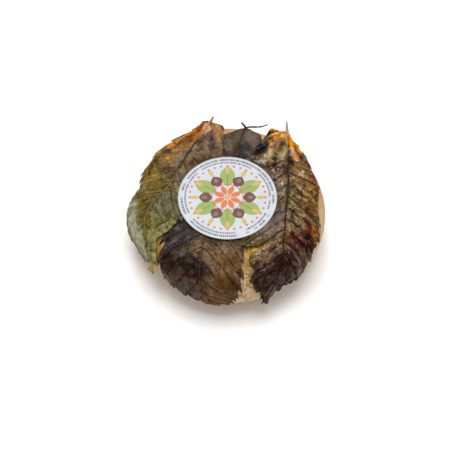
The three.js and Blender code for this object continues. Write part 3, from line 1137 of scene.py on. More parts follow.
class Pile:
    """What lies on the wheel so far: heights above its skin, on a grid over the unrolled wheel."""

    REACH = 140  # half the grid's width in millimetres
    CELL = 1.0
    WIDENED = 2  # cells by which a stiff leaf bridges what lies under it
    EASED = 6  # rounds of easing after that

    def __init__(self) -> None:
        """Starts with the bare wheel."""
        side = int(2 * self.REACH / self.CELL)
        self.top = np.zeros((side, side))

    def cell(self, x: np.ndarray, y: np.ndarray) -> tuple[np.ndarray, np.ndarray]:
        """The grid places under some points."""
        side = len(self.top) - 1
        return tuple(np.clip(((p + self.REACH) / self.CELL).astype(int), 0, side) for p in (x, y))

    def lay(self, x: np.ndarray, y: np.ndarray, top: np.ndarray) -> None:
        """Adds a piece, given by points of its upper face."""
        i, j = self.cell(x, y)
        np.maximum.at(self.top, (i, j), top)

    def spread(self) -> np.ndarray:
        """The heights, widened and eased so that a stiff leaf bridges small steps."""
        heights = self.top
        for join, rounds in ((np.max, self.WIDENED), (np.mean, self.EASED)):
            for _ in range(rounds):
                around = [np.roll(heights, s, axis=a) for a in (0, 1) for s in (-1, 0, 1)]
                heights = join(around, axis=0)
        return heights

    def under(self, x: np.ndarray, y: np.ndarray) -> np.ndarray:
        """The height that a new piece rests on, at some places.

        Args:
            x: first coordinates on the unrolled wheel.
            y: second coordinates.

        Returns:
            The eased height there.
        """
        heights = self.spread()
        u, v = ((p + self.REACH) / self.CELL - 0.5 for p in (x, y))
        i, j = (np.clip(np.floor(p).astype(int), 0, len(heights) - 2) for p in (u, v))
        fu, fv = np.clip(u - i, 0, 1), np.clip(v - j, 0, 1)
        low = mix(heights[i, j], heights[i + 1, j], fu)
        high = mix(heights[i, j + 1], heights[i + 1, j + 1], fu)
        return mix(low, high, fv)


# ---- The leaves ---------------------------------------------------------------------------


class Side(Enum):
    """A half of a leaf: towards +X or towards -X."""

    SUN = 1
    SHADE = -1


@dataclass(frozen=True)
class Tear:
    """A split that runs in from the margin along a side vein."""

    side: Side
    at: float  # share of the leaf's length
    half: float  # half its width, as a share of the length
    depth: float  # share of the blade's half width


@dataclass(frozen=True)
class Hump:
    """A place where the dry blade bulges up or down."""

    side: Side
    at: Pair  # share of the length, share of the half width
    reach: Pair  # the same
    rise: float  # millimetres


@dataclass(frozen=True)
class Fold:
    """A stretch of margin that is turned back over the blade."""

    side: Side
    start: float  # shares of the leaf's length
    end: float
    width: float  # how much is turned back, in millimetres
    radius: float  # of the crease


@dataclass(frozen=True)
class Leaf:
    """A dried chestnut leaf. Half widths run along its side veins, at even steps to the tip."""

    VEINS = 14  # side veins on each side
    ROWS_PER_VEIN = 24
    CROWDING = 0.4  # how much closer together the rows are at a side vein
    STALK_ROWS = 14
    MIDRIB_STEPS = 600
    BASE_VEIN = 95.0  # degrees between the midrib and the side veins at the base
    SIDE_VEIN = 47.0  # the same from FANNED on
    ON_VEIN = 1e-6  # keeps a row that lies on a side vein on it
    PRESSED = 0.3  # what the label leaves of the relief
    LINES_PER_VEIN = 4.6  # wrinkles from one side vein to the next
    PLEATS_AROUND = 14

    # Shares of the length.
    FANNED = 0.3  # where the side veins reach their angle
    BLUNT_FROM = 0.93  # where the angle turns to the tip's
    TOOTHED = (0.02, 0.12)  # where the teeth begin
    UNTOOTHED = (1.0, 0.95)  # where they end
    ROUND_BASE = 0.018
    FOLD_ENDS = 0.05  # where the fold opens, at both of its ends

    # A share of the half width.
    PUCKER_ENDS = 0.87

    # Lengths in millimetres.
    VEIN_HALF = 0.5
    LEAST_WIDTH = 0.6
    DRIFT = 0.9  # how far the whole blade is pulled about
    DRIFT_WIDTH = 15
    PRESSED_REACH = (1, 8)  # outside the label, where the relief comes back
    SHOULDER_REACH = 5  # before and after the shoulder's start
    CLEARANCE = 0.35  # least distance to the middle of what lies under it
    LEAST_FOLD = 0.001
    KEEL = 0.35  # how far the midrib stands out below
    KEEL_HALF = 0.7
    LINE_SWAY = 7  # width of the waves in which the wrinkles sway
    LINE_LENGTHS = (12, 8)
    CROSSED = (2.1, 5)  # width and length of the wrinkles across them
    QUILTED = 3.2
    BUCKLED = 15
    CURLED = 7

    node: str
    stalk: tuple[Triple, ...]  # x, y and the rise above the wheel's top
    midrib: tuple[Pair, ...]
    sun: tuple[float, ...]
    shade: tuple[float, ...]
    teeth: Pair  # their height on the sun and shade side
    pucker: float  # height of the bulges between the side veins
    stiff_base: Pair  # share of the length, and how far the base rises
    free_tip: Pair  # share of the length, and how far the tip stands off
    finish: LeafFinish
    seed: int
    overlap: Triple = (0.0, 0.0, 1.0)  # sign of the side on another leaf, from, to
    tears: tuple[Tear, ...] = ()
    humps: tuple[Hump, ...] = ()
    fold: Fold | None = None
    twig: tuple[Triple, ...] = ()
    twig_radii: Pair = (0.8, 0.5)
    flap: float = 0.0  # width of the torn strip beside the stalk
    ears: Pair = (0.0, 0.0)  # how far the base's corners reach back, on the sun and shade side
    ragged_base: float = 0.8
    ragged: float = 0.9  # how uneven the margin is
    ridge: float = 0.4  # height of the side veins
    rib: float = 0.8  # height of the midrib at its base
    folds: float = 0.35  # height of the wrinkles that run with the side veins
    crinkle: float = 0.2  # height of the fine wrinkles
    buckle: float = 0.6  # height of the broad waves
    curl: float = 0.8  # how far the margin curls
    pleats: float = 0.0  # height of the pleats at the base
    thickness: float = 0.36
    stand_off: float = 0.75  # the middle surface above the flat top
    round_stand_off: float = 0.9  # what bending over the shoulder adds
    overlap_rise: float = 1.05  # what lying on another leaf adds
    columns: int = 66  # on each side of the midrib
    stalk_radius: float = 0.8
    tip_angle: float = 84.0  # degrees from the midrib to the blunt tip's edge

    @property
    def vein_spacing(self) -> float:
        """The distance between two side veins, measured along the midrib."""
        line = np.array(self.midrib, dtype=float)
        return float(np.linalg.norm(np.diff(line, axis=0), axis=1).sum() / self.VEINS)

    def rows(self) -> np.ndarray:
        """Shares of the length, closer together at the side veins."""
        even = np.linspace(0, self.VEINS, self.VEINS * self.ROWS_PER_VEIN + 1)
        crowded = even - self.CROWDING * np.sin(FULL_TURN * even) / FULL_TURN
        return crowded / self.VEINS

    def bare_width(self, side: Side, along: np.ndarray) -> np.ndarray:
        """Half the blade's width along its side veins, without teeth."""
        return through(self.sun if side is Side.SUN else self.shade, along)

    def half_width(self, side: Side, along: np.ndarray) -> np.ndarray:
        """Half the blade's width along its side veins, with teeth and ragged edges.

        Args:
            side: the half of the leaf.
            along: shares of its length.

        Returns:
            The half widths.
        """
        ragged = Grain(self.seed + side.value)
        place = along * self.VEINS
        before_vein = np.ceil(place - self.ON_VEIN) - place
        toothed = step(*self.TOOTHED, along) * step(*self.UNTOOTHED, along)
        uneven = 1 + 0.5 * ragged(place * 0.8, 0.0)
        teeth = self.teeth[0] if side is Side.SUN else self.teeth[1]
        width = self.bare_width(side, along)
        width = width + teeth * toothed * uneven * (0.5 - before_vein)
        width = width + toothed * 0.2 * teeth * bell(before_vein, 0, 0.07)
        torn = ragged(place * 2.6, 3.0) + 0.5 * ragged(place * 6, 6.0)
        width = width + toothed * self.ragged * torn
        width = width + 0.25 * ragged(place * 13, 9.0)
        for tear in (t for t in self.tears if t.side is side):
            width *= 1 - tear.depth * np.maximum(0, 1 - np.abs(along - tear.at) / tear.half)
        from_base = np.minimum(along / self.ROUND_BASE, 1)
        rounded = np.sqrt(np.clip(1 - (1 - from_base) ** 2, 0.12, 1))
        return np.maximum(width * rounded, self.LEAST_WIDTH)

    def base_edge(self, side: Side, along: np.ndarray, out: np.ndarray) -> np.ndarray:
        """How far the blade's torn base reaches back beyond the stalk's end.

        Args:
            side: the half of the leaf.
            along: shares of the length, one a row.
            out: distances from the midrib.

        Returns:
            Distances against the leaf's direction, for each point.
        """
        ear = self.ears[0] if side is Side.SUN else self.ears[1]
        torn = Grain(self.seed + 7)(out / 1.9, side.value * 5.5) * step(1, 3, out)
        reach = ear * np.clip(out / 10, 0, 1.2) + self.ragged_base * torn
        return reach * step(0.07, 0.0, along)[:, None]

    def turned_back(
        self, side: Side, along: np.ndarray, width: np.ndarray, share: np.ndarray
    ) -> tuple[np.ndarray, np.ndarray]:
        """Where the blade's points lie across the leaf once its margin is folded.

        Args:
            side: the half of the leaf.
            along: shares of the length, one a row.
            width: half widths, one a row.
            share: shares of the half width, one a column.

        Returns:
            Distances from the midrib, and how far the points are lifted.
        """
        flat = width[:, None] * share[None, :]
        if self.fold is None or self.fold.side is not side:
            return flat, np.zeros_like(flat)
        fold = self.fold
        ends = self.FOLD_ENDS
        inside = step(fold.start, fold.start + ends, along) * step(fold.end, fold.end - ends, along)
        radius = np.maximum(fold.radius * inside, self.LEAST_FOLD)[:, None]
        edge = mix(width, self.bare_width(side, along) + 1.2, inside)
        crease = edge[:, None] - radius
        ragged = Grain(self.seed + 5)
        loose = 1 + 0.3 * ragged(along * 22, 0.0) + 0.15 * ragged(along * 75, 3.0)
        spare = (fold.width * inside * loose)[:, None]
        laid = (edge[:, None] + spare + (math.pi - 1) * radius) * share[None, :]
        turn = np.clip((laid - crease) / radius, 0, math.pi)
        back = np.maximum(laid - crease - math.pi * radius, 0)
        out = np.minimum(laid, crease) + radius * np.sin(turn) - back
        return out, radius * (1 - np.cos(turn)) + 0.12 * back

    def relief(
        self, along: np.ndarray, share: np.ndarray, out: np.ndarray, x: np.ndarray, y: np.ndarray
    ) -> tuple[np.ndarray, np.ndarray]:
        """The blade's own shape: puckers, side veins, wrinkles, pleats and waves.

        Args:
            along: shares of the length.
            share: signed shares of the half width.
            out: signed distances from the midrib.
            x: first coordinates on the unrolled wheel.
            y: second coordinates.

        Returns:
            Heights above the flat blade, and how far each point is a crest, from 0 to 1.
        """
        grain = Grain(self.seed)
        phase = along * self.VEINS
        part = np.abs(share)
        lengthwise = phase * self.vein_spacing
        off_vein = np.abs((phase + 0.5) % 1 - 0.5) * self.vein_spacing * 0.75
        near, far = (LABEL_REACH + reach for reach in self.PRESSED_REACH)
        free = step(near, far, np.hypot(x, y))
        inner = step(0.0, 0.1, part)

        each = 1 + 0.6 * grain(np.floor(phase) * 3.7 + 0.5, np.sign(share) * 4 + 9.5)
        across = np.minimum(part / self.PUCKER_ENDS, 1)
        puckered = np.abs(np.sin(math.pi * phase)) * np.sin(math.pi * across)
        sway, (long, short), (wide, tall) = self.LINE_SWAY, self.LINE_LENGTHS, self.CROSSED
        bent = phase * self.LINES_PER_VEIN + 1.3 * grain(x / sway, y / sway)
        lines = 1 - 2 * np.abs(grain(bent, out / long, 4.5))
        lines = lines + 0.6 * grain(bent * 1.7, out / short, 14.5)
        crossed = grain(out / wide, lengthwise / tall, 8.5)
        quilted = 2 * np.abs(grain(x / self.QUILTED, y / self.QUILTED, 12.5)) - 0.5
        fine = (self.folds * lines * inner + self.crinkle * (crossed + 1.4 * quilted)) * free
        if self.pleats:
            fine += self.pleats * self.fan(grain, x, y) * free

        height = fine + self.pucker * each * puckered
        vein = bell(off_vein, 0, self.VEIN_HALF) * (1 - 0.55 * part)
        height += self.ridge * vein * step(0, 0.04, part)
        buckled = 1 + grain(x / self.BUCKLED, y / self.BUCKLED, 2.5)
        height += self.buckle * 0.5 * buckled * step(0, 0.25, part)
        height += self.rib * (1 - 0.7 * along) * bell(out, 0, 1.0 - 0.6 * along)
        height *= mix(self.PRESSED, 1.0, free)
        curled = 0.5 + grain(lengthwise / self.CURLED, np.sign(share) * 3)
        height += self.curl * free * step(0.8, 1, part) * curled
        for hump in self.humps:
            on_side = (share * hump.side.value > 0) | (part < TINY)
            bump = bell(along, hump.at[0], hump.reach[0]) * bell(part, hump.at[1], hump.reach[1])
            height += hump.rise * bump * on_side
        crest = 0.5 + 0.34 * fine / (self.folds + self.crinkle) + 0.2 * (puckered - 0.4)
        return height, np.clip(crest, 0, 1)

    def fan(self, grain: Grain, x: np.ndarray, y: np.ndarray) -> np.ndarray:
        """Pleats that spread from the blade's base, where it dried round its stalk.

        Args:
            grain: the leaf's noise.
            x: first coordinates on the unrolled wheel.
            y: second coordinates.

        Returns:
            Their height from -1 to 1.
        """
        base_x, base_y = self.midrib[0]
        far = np.hypot(x - base_x, y - base_y)
        turn = np.arctan2(y - base_y - 3, x - base_x)
        waves = np.sin(turn * self.PLEATS_AROUND + 2.5 * grain(x / 8, y / 8, 6.5))
        return waves * step(2, 9, far) * step(34, 20, far)

    def spread_out(self, along: np.ndarray) -> tuple[np.ndarray, ...]:
        """The blade's points on the unrolled wheel.

        Args:
            along: shares of the length, one a row.

        Returns:
            For each point its two coordinates, the signed distance from the midrib, how far the
            fold lifts it, and the signed share of the half width.
        """
        even = np.linspace(0, 1, self.columns + 1)
        share = even * (0.62 + 0.38 * even)  # closer together at the midrib
        line = smooth_curve(np.array(self.midrib, dtype=float), self.MIDRIB_STEPS)
        known = np.linspace(0, 1, self.MIDRIB_STEPS)
        centre, ahead = (
            np.stack([np.interp(along, known, rows[:, k]) for k in (0, 1)], axis=-1)
            for rows in (line, np.gradient(line, axis=0))
        )
        ahead /= np.linalg.norm(ahead, axis=1, keepdims=True)
        angle = mix(self.BASE_VEIN, self.SIDE_VEIN, step(0, self.FANNED, along))
        angle = np.radians(mix(angle, self.tip_angle, step(self.BLUNT_FROM, 1, along)))

        halves = []
        for side in (Side.SHADE, Side.SUN):
            width = self.half_width(side, along)
            out, lift = self.turned_back(side, along, width, share)
            turn = side.value * angle
            aside_x = ahead[:, 0] * np.cos(turn) - ahead[:, 1] * np.sin(turn)
            aside_y = ahead[:, 0] * np.sin(turn) + ahead[:, 1] * np.cos(turn)
            back = self.base_edge(side, along, out)
            x = centre[:, 0, None] + out * aside_x[:, None] - back * ahead[:, 0, None]
            y = centre[:, 1, None] + out * aside_y[:, None] - back * ahead[:, 1, None]
            signed = np.broadcast_to(share * side.value, out.shape)
            half = np.stack([x, y, out * side.value, lift, signed], axis=-1)
            halves.append(half[:, :0:-1] if side is Side.SHADE else half)
        return tuple(np.moveaxis(np.concatenate(halves, axis=1), -1, 0))

    def rest_height(
        self, wheel: Wheel, along: np.ndarray, signed: np.ndarray, length: np.ndarray
    ) -> np.ndarray:
        """How far the flat blade stands off the wheel.

        Args:
            wheel: the cheese.
            along: shares of the length.
            signed: signed shares of the half width.
            length: lengths along the wheel's skin from the middle of its top.

        Returns:
            Heights above the skin.
        """
        low, high = (wheel.shoulder_at + s * self.SHOULDER_REACH for s in (-1, 1))
        above = self.stand_off + self.round_stand_off * step(low, high, length)
        sign, start, end = self.overlap
        above = above + self.overlap_rise * (signed * sign > 0) * step(start, end, np.abs(signed))
        return above + self.free_tip[1] * step(1 - self.free_tip[0], 1, along)

    def laid_out(self, wheel: Wheel, pile: Pile) -> tuple[np.ndarray, dict[str, np.ndarray]]:
        """The blade's middle surface, laid on the wheel and on what lies there already.

        Args:
            wheel: the cheese.
            pile: what lies on it so far. The leaf is added to it.

        Returns:
            The points by row and column, and the maps of the same points.
        """
        along = self.rows()
        x, y, out, lift, signed = self.spread_out(along)
        along = np.broadcast_to(along[:, None], x.shape)
        drift = Grain(self.seed + 3)
        wide, pull = self.DRIFT_WIDTH, self.DRIFT
        x = x + pull * drift(x / wide, y / wide, 0.5) * step(0, 0.05, along)
        y = y + pull * drift(x / wide, y / wide, 7.5) * step(0, 0.05, along)

        # The blade rests on the skin or the pile, and is pressed down under the label.
        length = np.hypot(x, y)
        above = self.rest_height(wheel, along, signed, length)
        shape, crest = self.relief(along, signed, out, x, y)
        turned = step(0.2, 1.2, lift)
        shape = mix(shape, 0.3, turned)
        carried = pile.under(x, y) + self.CLEARANCE + 0.5 * shape
        above = larger(above + shape, carried, 0.25) + lift
        stiff = step(self.stiff_base[0], 0, along)
        under_label = step(LABEL_REACH + 2, LABEL_REACH - 2, length) * (1 - stiff)
        above = mix(above, np.minimum(above, LABEL_LIFT - self.thickness), under_label)

        # The stiff base stays straight where the rest bends over the shoulder.
        bent = wheel.on_skin(x, y, above)
        straight = np.stack([x, y, wheel.height + above + self.stiff_base[1] * stiff], axis=-1)
        points = mix(bent, straight, stiff[..., None])
        settled = stiff < 0.3
        pile.lay(x[settled], y[settled], above[settled] + self.thickness / 2)
        phase = along * self.VEINS
        phase = phase + 0.07 * drift(x / 9, y / 9, 3.5)
        maps = {
            "sheet": np.stack([x, y], axis=-1),
            "blade": np.stack([phase, out], axis=-1),
            "shape": np.stack([crest, turned], axis=-1),
        }
        return points, maps

    def build(self, wheel: Wheel, pile: Pile) -> bpy.types.Object:
        """Makes the leaf and lays it on the pile.

        Args:
            wheel: the cheese.
            pile: what lies on it so far.

        Returns:
            The leaf's object.
        """
        blade, maps = self.laid_out(wheel, pile)
        columns = blade.shape[1]
        share = np.linspace(-1, 1, columns)

        # The stalk is round and runs into the blade.
        base = blade[0, columns // 2]
        path = np.array([*((x, y, wheel.height + rise) for x, y, rise in self.stalk), base])
        path = smooth_curve(path, self.STALK_ROWS + 1)[:-1]
        radius = self.stalk_radius * np.linspace(0.75, 1.0, self.STALK_ROWS)
        widening = np.linspace(0, self.flap, self.STALK_ROWS)[:, None]
        flapped = 1 + widening * np.maximum(share, 0) / self.stalk_radius
        aside = radius[:, None] * share * flapped
        level = np.zeros_like(aside)
        stalk = path[:, None] + np.stack([aside, level, level], axis=-1)
        middle = np.concatenate([stalk, blade])

        # Both faces lie off the middle surface, and the midrib stands out below.
        ahead, across = np.gradient(middle, axis=0), np.gradient(middle, axis=1)
        normal = np.cross(ahead, across)
        normal /= np.maximum(np.linalg.norm(normal, axis=-1, keepdims=True), TINY)
        round_half = radius[:, None] * np.sqrt(np.clip(1 - share**2, 0, 1)) / flapped + 0.06
        thin = np.full(blade.shape[:2], self.thickness / 2)
        half = np.concatenate([round_half, thin])[..., None]
        keel = self.KEEL * bell(maps["blade"][..., 1], 0, self.KEEL_HALF)
        keel = np.concatenate([level, keel])[..., None]
        upper, lower = middle + normal * half, middle - normal * (half + keel)

        stalk_maps = {
            "sheet": stalk[..., :2],
            "blade": np.stack([level - 0.5, aside * 0.5], axis=-1),
            "shape": np.stack([level + 0.5, level], axis=-1),
        }
        both = {title: np.concatenate([stalk_maps[title], maps[title]]) for title in maps}
        skin = thin_skin(upper, lower, both)
        if self.twig:
            self.add_twig(skin, wheel)
        name = self.node.replace("leaf_", "chestnut_leaf_")
        return skin.piece(name, self.finish.material(self))

    def add_twig(self, skin: Skin, wheel: Wheel) -> None:
        """Adds the dry side stalk to the leaf's mesh.

        Args:
            skin: the leaf's mesh.
            wheel: the cheese, whose top the twig's heights are measured from.
        """
        steps, sides, knots_along = 60, 10, 9
        given = np.array([(x, y, wheel.height + rise) for x, y, rise in self.twig])
        path = smooth_curve(given, steps)
        knots = Grain(self.seed + 8)(np.linspace(0, knots_along, steps), 0.0)
        radii = np.linspace(*self.twig_radii, steps) * (1 + 0.3 * knots)
        points, faces = rod_skin(path, radii, sides)
        first = len(skin.points)
        skin.points = np.vstack([skin.points, points])
        skin.faces += [tuple(n + first for n in face) for face in faces]

        # The finish reads the same stalk colour all over the twig.
        pairs = {"sheet": (14.0, 70.0), "blade": (0.3, 0.1), "shape": (0.5, 0.0)}
        for title, values in skin.maps.items():
            skin.maps[title] = np.vstack([values, np.tile(pairs[title], (len(points), 1))])
        seen = np.concatenate([points[list(face)][:, ::2] for face in faces])
        seen = (seen - seen.min(axis=0)) / np.ptp(seen, axis=0)
        low = np.array([BAKE_SPAN[0], BAKE_ROD[0]])
        high = np.array([BAKE_SPAN[1], BAKE_ROD[1]])
        skin.bake = np.vstack([skin.bake, low + seen * (high - low)])


# ---- The label ----------------------------------------------------------------------------


@dataclass(frozen=True)
class Label:
    """A round printed paper label that lies on the leaves, with slow waves of its own."""

    radius: float
    underside: float  # height above the wheel's base
    room: float  # height that its waves may take
    thickness: float = 0.24
    wave_width: float = 22.0
    hole: float = 0.4  # radius of the innermost ring, which one face closes
    inset: float = 0.05  # what the rim stays inside the radius
    rings: int = 34
    sectors: int = 144
    seed: int = 31

    def build(self) -> bpy.types.Object:
        """Makes the label."""
        spans = np.linspace(self.hole, self.radius - self.inset, self.rings)
        angles = np.linspace(0, FULL_TURN, self.sectors, endpoint=False)
        far, angle = np.meshgrid(spans, angles, indexing="ij")
        x, y = far * np.cos(angle), far * np.sin(angle)
        wide = self.wave_width
        wave = 0.5 + 0.5 * Grain(self.seed)(x / wide + 4, y / wide + 4)
        low = self.underside + (self.room - self.thickness) * wave
        lower = np.stack([x, y, low], axis=-1).reshape(-1, 3)
        upper = lower + (0, 0, self.thickness)
        count = len(upper)
        points = np.vstack([upper, lower])
        numbers = np.arange(count).reshape(self.rings, self.sectors)
        after = np.roll(numbers, -1, axis=1)
        bands = np.stack([numbers[:-1], numbers[1:], after[1:], after[:-1]], axis=-1).reshape(-1, 4)
        rim = np.stack([numbers[-1], numbers[-1] + count, after[-1] + count, after[-1]], axis=-1)
        faces = [*bands.tolist(), *(bands[:, ::-1] + count).tolist(), *rim.tolist()]
        faces += [numbers[0].tolist(), (numbers[0][::-1] + count).tolist()]
        blank = np.full((count, 2), 3 * self.radius)  # nothing is printed below
        skin = Skin(points, faces, {"print": np.vstack([upper[:, :2], blank])})
        return skin.piece("paper_label", LabelFinish().material())


# ---- The pieces as they lie ---------------------------------------------------------------

WHEEL_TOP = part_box("cheese_wheel")[1][2] / MM
LABEL_BOX = [np.array(corner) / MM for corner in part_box("label")]
LABEL_REACH = LABEL_BOX[1][0]
LABEL_LIFT = LABEL_BOX[0][2] - WHEEL_TOP

MIDDLE_LEAF = Leaf(
    node="leaf_middle",
    stalk=((11.9, 71.3, 7.5), (13.1, 71.2, 5.5), (14.9, 70.4, 2.6)),
    midrib=(
        (14.9, 69), (11.2, 59), (4, 41), (-3, 22), (-10, 2), (-15.5, -20),
        (-20, -44), (-22, -64), (-20.6, -81), (-16, -97), (-9, -109),
    ),
    sun=(13, 27, 37.5, 46, 44, 49, 49, 45, 34.5, 22.5, 0.8),
    shade=(4, 22, 24, 24, 40, 44, 49.8, 43, 23.5, 13.5, 0.8),
    ragged=1.6,
    teeth=(3.6, 6.5),
    pucker=0.3,
    stiff_base=(0.07, 1.2),
    free_tip=(0.1, 0.3),
    twig=((14.9, 70.2, 2.4), (19.3, 68.9, 5.2), (26.4, 68.2, 6.2), (30.7, 68.5, 7.4), (33.1, 68.6, 9.2)),
    seed=41,
    curl=0.3,
    stand_off=0.5,
    round_stand_off=0.15,
    stalk_radius=1.1,
    finish=LeafFinish(
        name="leaf_middle",
        tones=(0x5A4430, 0x6E563C),
        stains=(
            # Grey-brown round the stalk.
            Stain(0x594C3F, (5, 55), (15, 14)),
            Stain(0x645547, (-4, 60), (5, 8)),
            Stain(0x33302F, (15, 47), (10, 8), 40),
            Stain(0x786258, (24, 61), (10, 8)),
            # Charcoal on the left, with reddish black spots below.
            Stain(0x3A3532, (-42, -38), (19, 15), -125),
            Stain(0x2D2A25, (-43, -28), (12, 4), 25),
            Stain(0x423628, (-36, -52), (9, 5), -30),
            Stain(0x210F05, (-31, -62), (18, 9), -25),
            Stain(0x2F1204, (-50, -61), (9, 8)),
            Stain(0x483122, (-42, -71), (10, 7)),
            Stain(0x4B3E36, (-34, -86), (17, 10), -10),
            # Brown, from the middle to the tip.
            Stain(0x715B41, (-8, -50), (22, 14), -40),
            # A darker band just outside the label's front edge: painted shadow of the label.
            Stain(0x3D3021, (-10, -40), (8, 4), -20, 0.7),
            Stain(0x694A28, (4, -68), (20, 12), -40),
            Stain(0x5D3C1D, (2, -79), (14, 6), -15),
            Stain(0x734E31, (-8, -94), (22, 9), -8),
        ),
        vein=0x140D0A,
        vein_strength=0.95,
        ribs=(0x4A4038, 0x5A3320, 0x5E3420),
        gloss=(0.4, 0.6),
        shine=0.45,
        sheen_and_bloom=0x8E7658,
        sheen_and_bloom_strength=0.12,
        streaks=0.6,
        contrast=1.0,
        dark=0x0E0907,
        dark_strength=0.5,
        underside=0x8A7460,
    ),
)

LEFT_LEAF = Leaf(
    node="leaf_left",
    stalk=((-11.8, 76.4, 9.8), (-12.8, 74.8, 8.6), (-13.9, 73.2, 7.2)),
    midrib=(
        (-15.2, 71.4), (-27.4, 54.6), (-36, 38), (-48.1, 17.8), (-57.2, 3.3),
        (-64.2, -13.7), (-67.2, -30.4), (-64.6, -44), (-64, -54), (-67.4, -64),
    ),
    sun=(13, 25, 25, 34, 40, 36.5, 29.5, 20, 9.5, 6.5, 6.0),
    shade=(4.5, 12.5, 26, 36, 28.5, 30.5, 36.2, 34, 24, 9.5, 4.4),
    stalk_radius=1.3,
    tip_angle=103.0,
    ragged=2.2,
    teeth=(2.4, 3.2),
    pucker=0.5,
    overlap=(1.0, 0.12, 0.42),
    stiff_base=(0.13, 6.0),
    free_tip=(0.1, 4.0),
    fold=Fold(Side.SUN, 0.44, 0.94, 6.0, 0.9),
    humps=(
        Hump(Side.SHADE, (0.28, 0.95), (0.1, 0.4), 2.0),
        Hump(Side.SHADE, (0.74, 0.75), (0.12, 0.5), -1.8),
    ),
    ears=(3.0, 0.0),
    ragged_base=2.6,
    seed=52,
    folds=0.3,
    crinkle=0.16,
    pleats=0.35,
    finish=LeafFinish(
        name="leaf_left",
        tones=(0x6B6030, 0x7E7248),
        stains=(
            # Brown at the base, orange-brown along the margin.
            Stain(0x6B5241, (-17, 48), (22, 13), 65),
            Stain(0xB47E48, (-6, 64), (9, 8)),
            Stain(0x6C5044, (-13, 57), (8, 4), -80),
            Stain(0x7A5F45, (-4, 55), (9, 1.8), -95),
            Stain(0x51351F, (-24, 37), (9, 5), 32),
            Stain(0x7A6753, (-35, 45), (16, 7), -125),
            Stain(0xA55409, (-25, 65), (11, 7), -140),
            Stain(0x916023, (-35, 57), (13, 7), -135),
            Stain(0x865E2C, (-47, 47), (13, 9), -137),
            Stain(0x86622C, (-58, 37), (11, 9), -120),
            Stain(0x866A2C, (-66, 26), (12, 8), -110),
            Stain(0xF5C091, (-18, 66), (5, 3), -110),
            # Olive in the middle, grey-green lower down.
            Stain(0x604D04, (-63, 3), (18, 11), -120),
            Stain(0x675647, (-38, 24), (12, 9), -50),
            Stain(0x64482A, (-34, 33), (6, 4), -50),
            Stain(0x5F4626, (-52, 30), (9, 7), -50),
            Stain(0x635E46, (-45, -6), (17, 15)),
            Stain(0x625E2C, (-52, -22), (11, 6), -120),
            Stain(0x9D9C7E, (-78, -24), (30, 9), -85),
            Stain(0x5A4E00, (-68, -15), (17, 5.5), -79, 0.75),
            Stain(0x685E36, (-61, -40), (12, 7), -110),
            Stain(0x998950, (-65, -61), (9, 9)),
            # Thin amber and dark lines by the margin.
            Stain(0xC87830, (-49, 40), (1.6, 1.1)),
            Stain(0xC06A12, (-31, 63), (8, 2.0), -140),
            Stain(0x6E4014, (-36, 57), (8, 1.6), -138),
            Stain(0x4C3313, (-46, 49), (9, 1.7), -136),
            Stain(0xB8701A, (-43, 55), (8, 1.8), -138),
            Stain(0x5E3C10, (-55, 40), (8, 1.7), -128),
            Stain(0xA07022, (-58, 43), (8, 1.8), -126),
            Stain(0x5E4416, (-64, 30), (8, 1.6), -118),
            # A dark band along the fold's free edge: painted shadow of the folded margin.
            Stain(0x332D0D, (-56, -30), (14, 2), 46, 0.8),
        ),
        vein=0xA89E70,
        vein_strength=0.34,
        ribs=(0xD8A486, 0x4A3526, 0xA07A46),
        gloss=(0.34, 0.54),
        shine=0.2,
        sheen_and_bloom=0xB0AC70,
        sheen_and_bloom_strength=0.14,
        dark=0x120C06,
        dark_strength=0.4,
        streaks=0.4,
        contrast=1.2,
        underside=0x948A58,
    ),
)

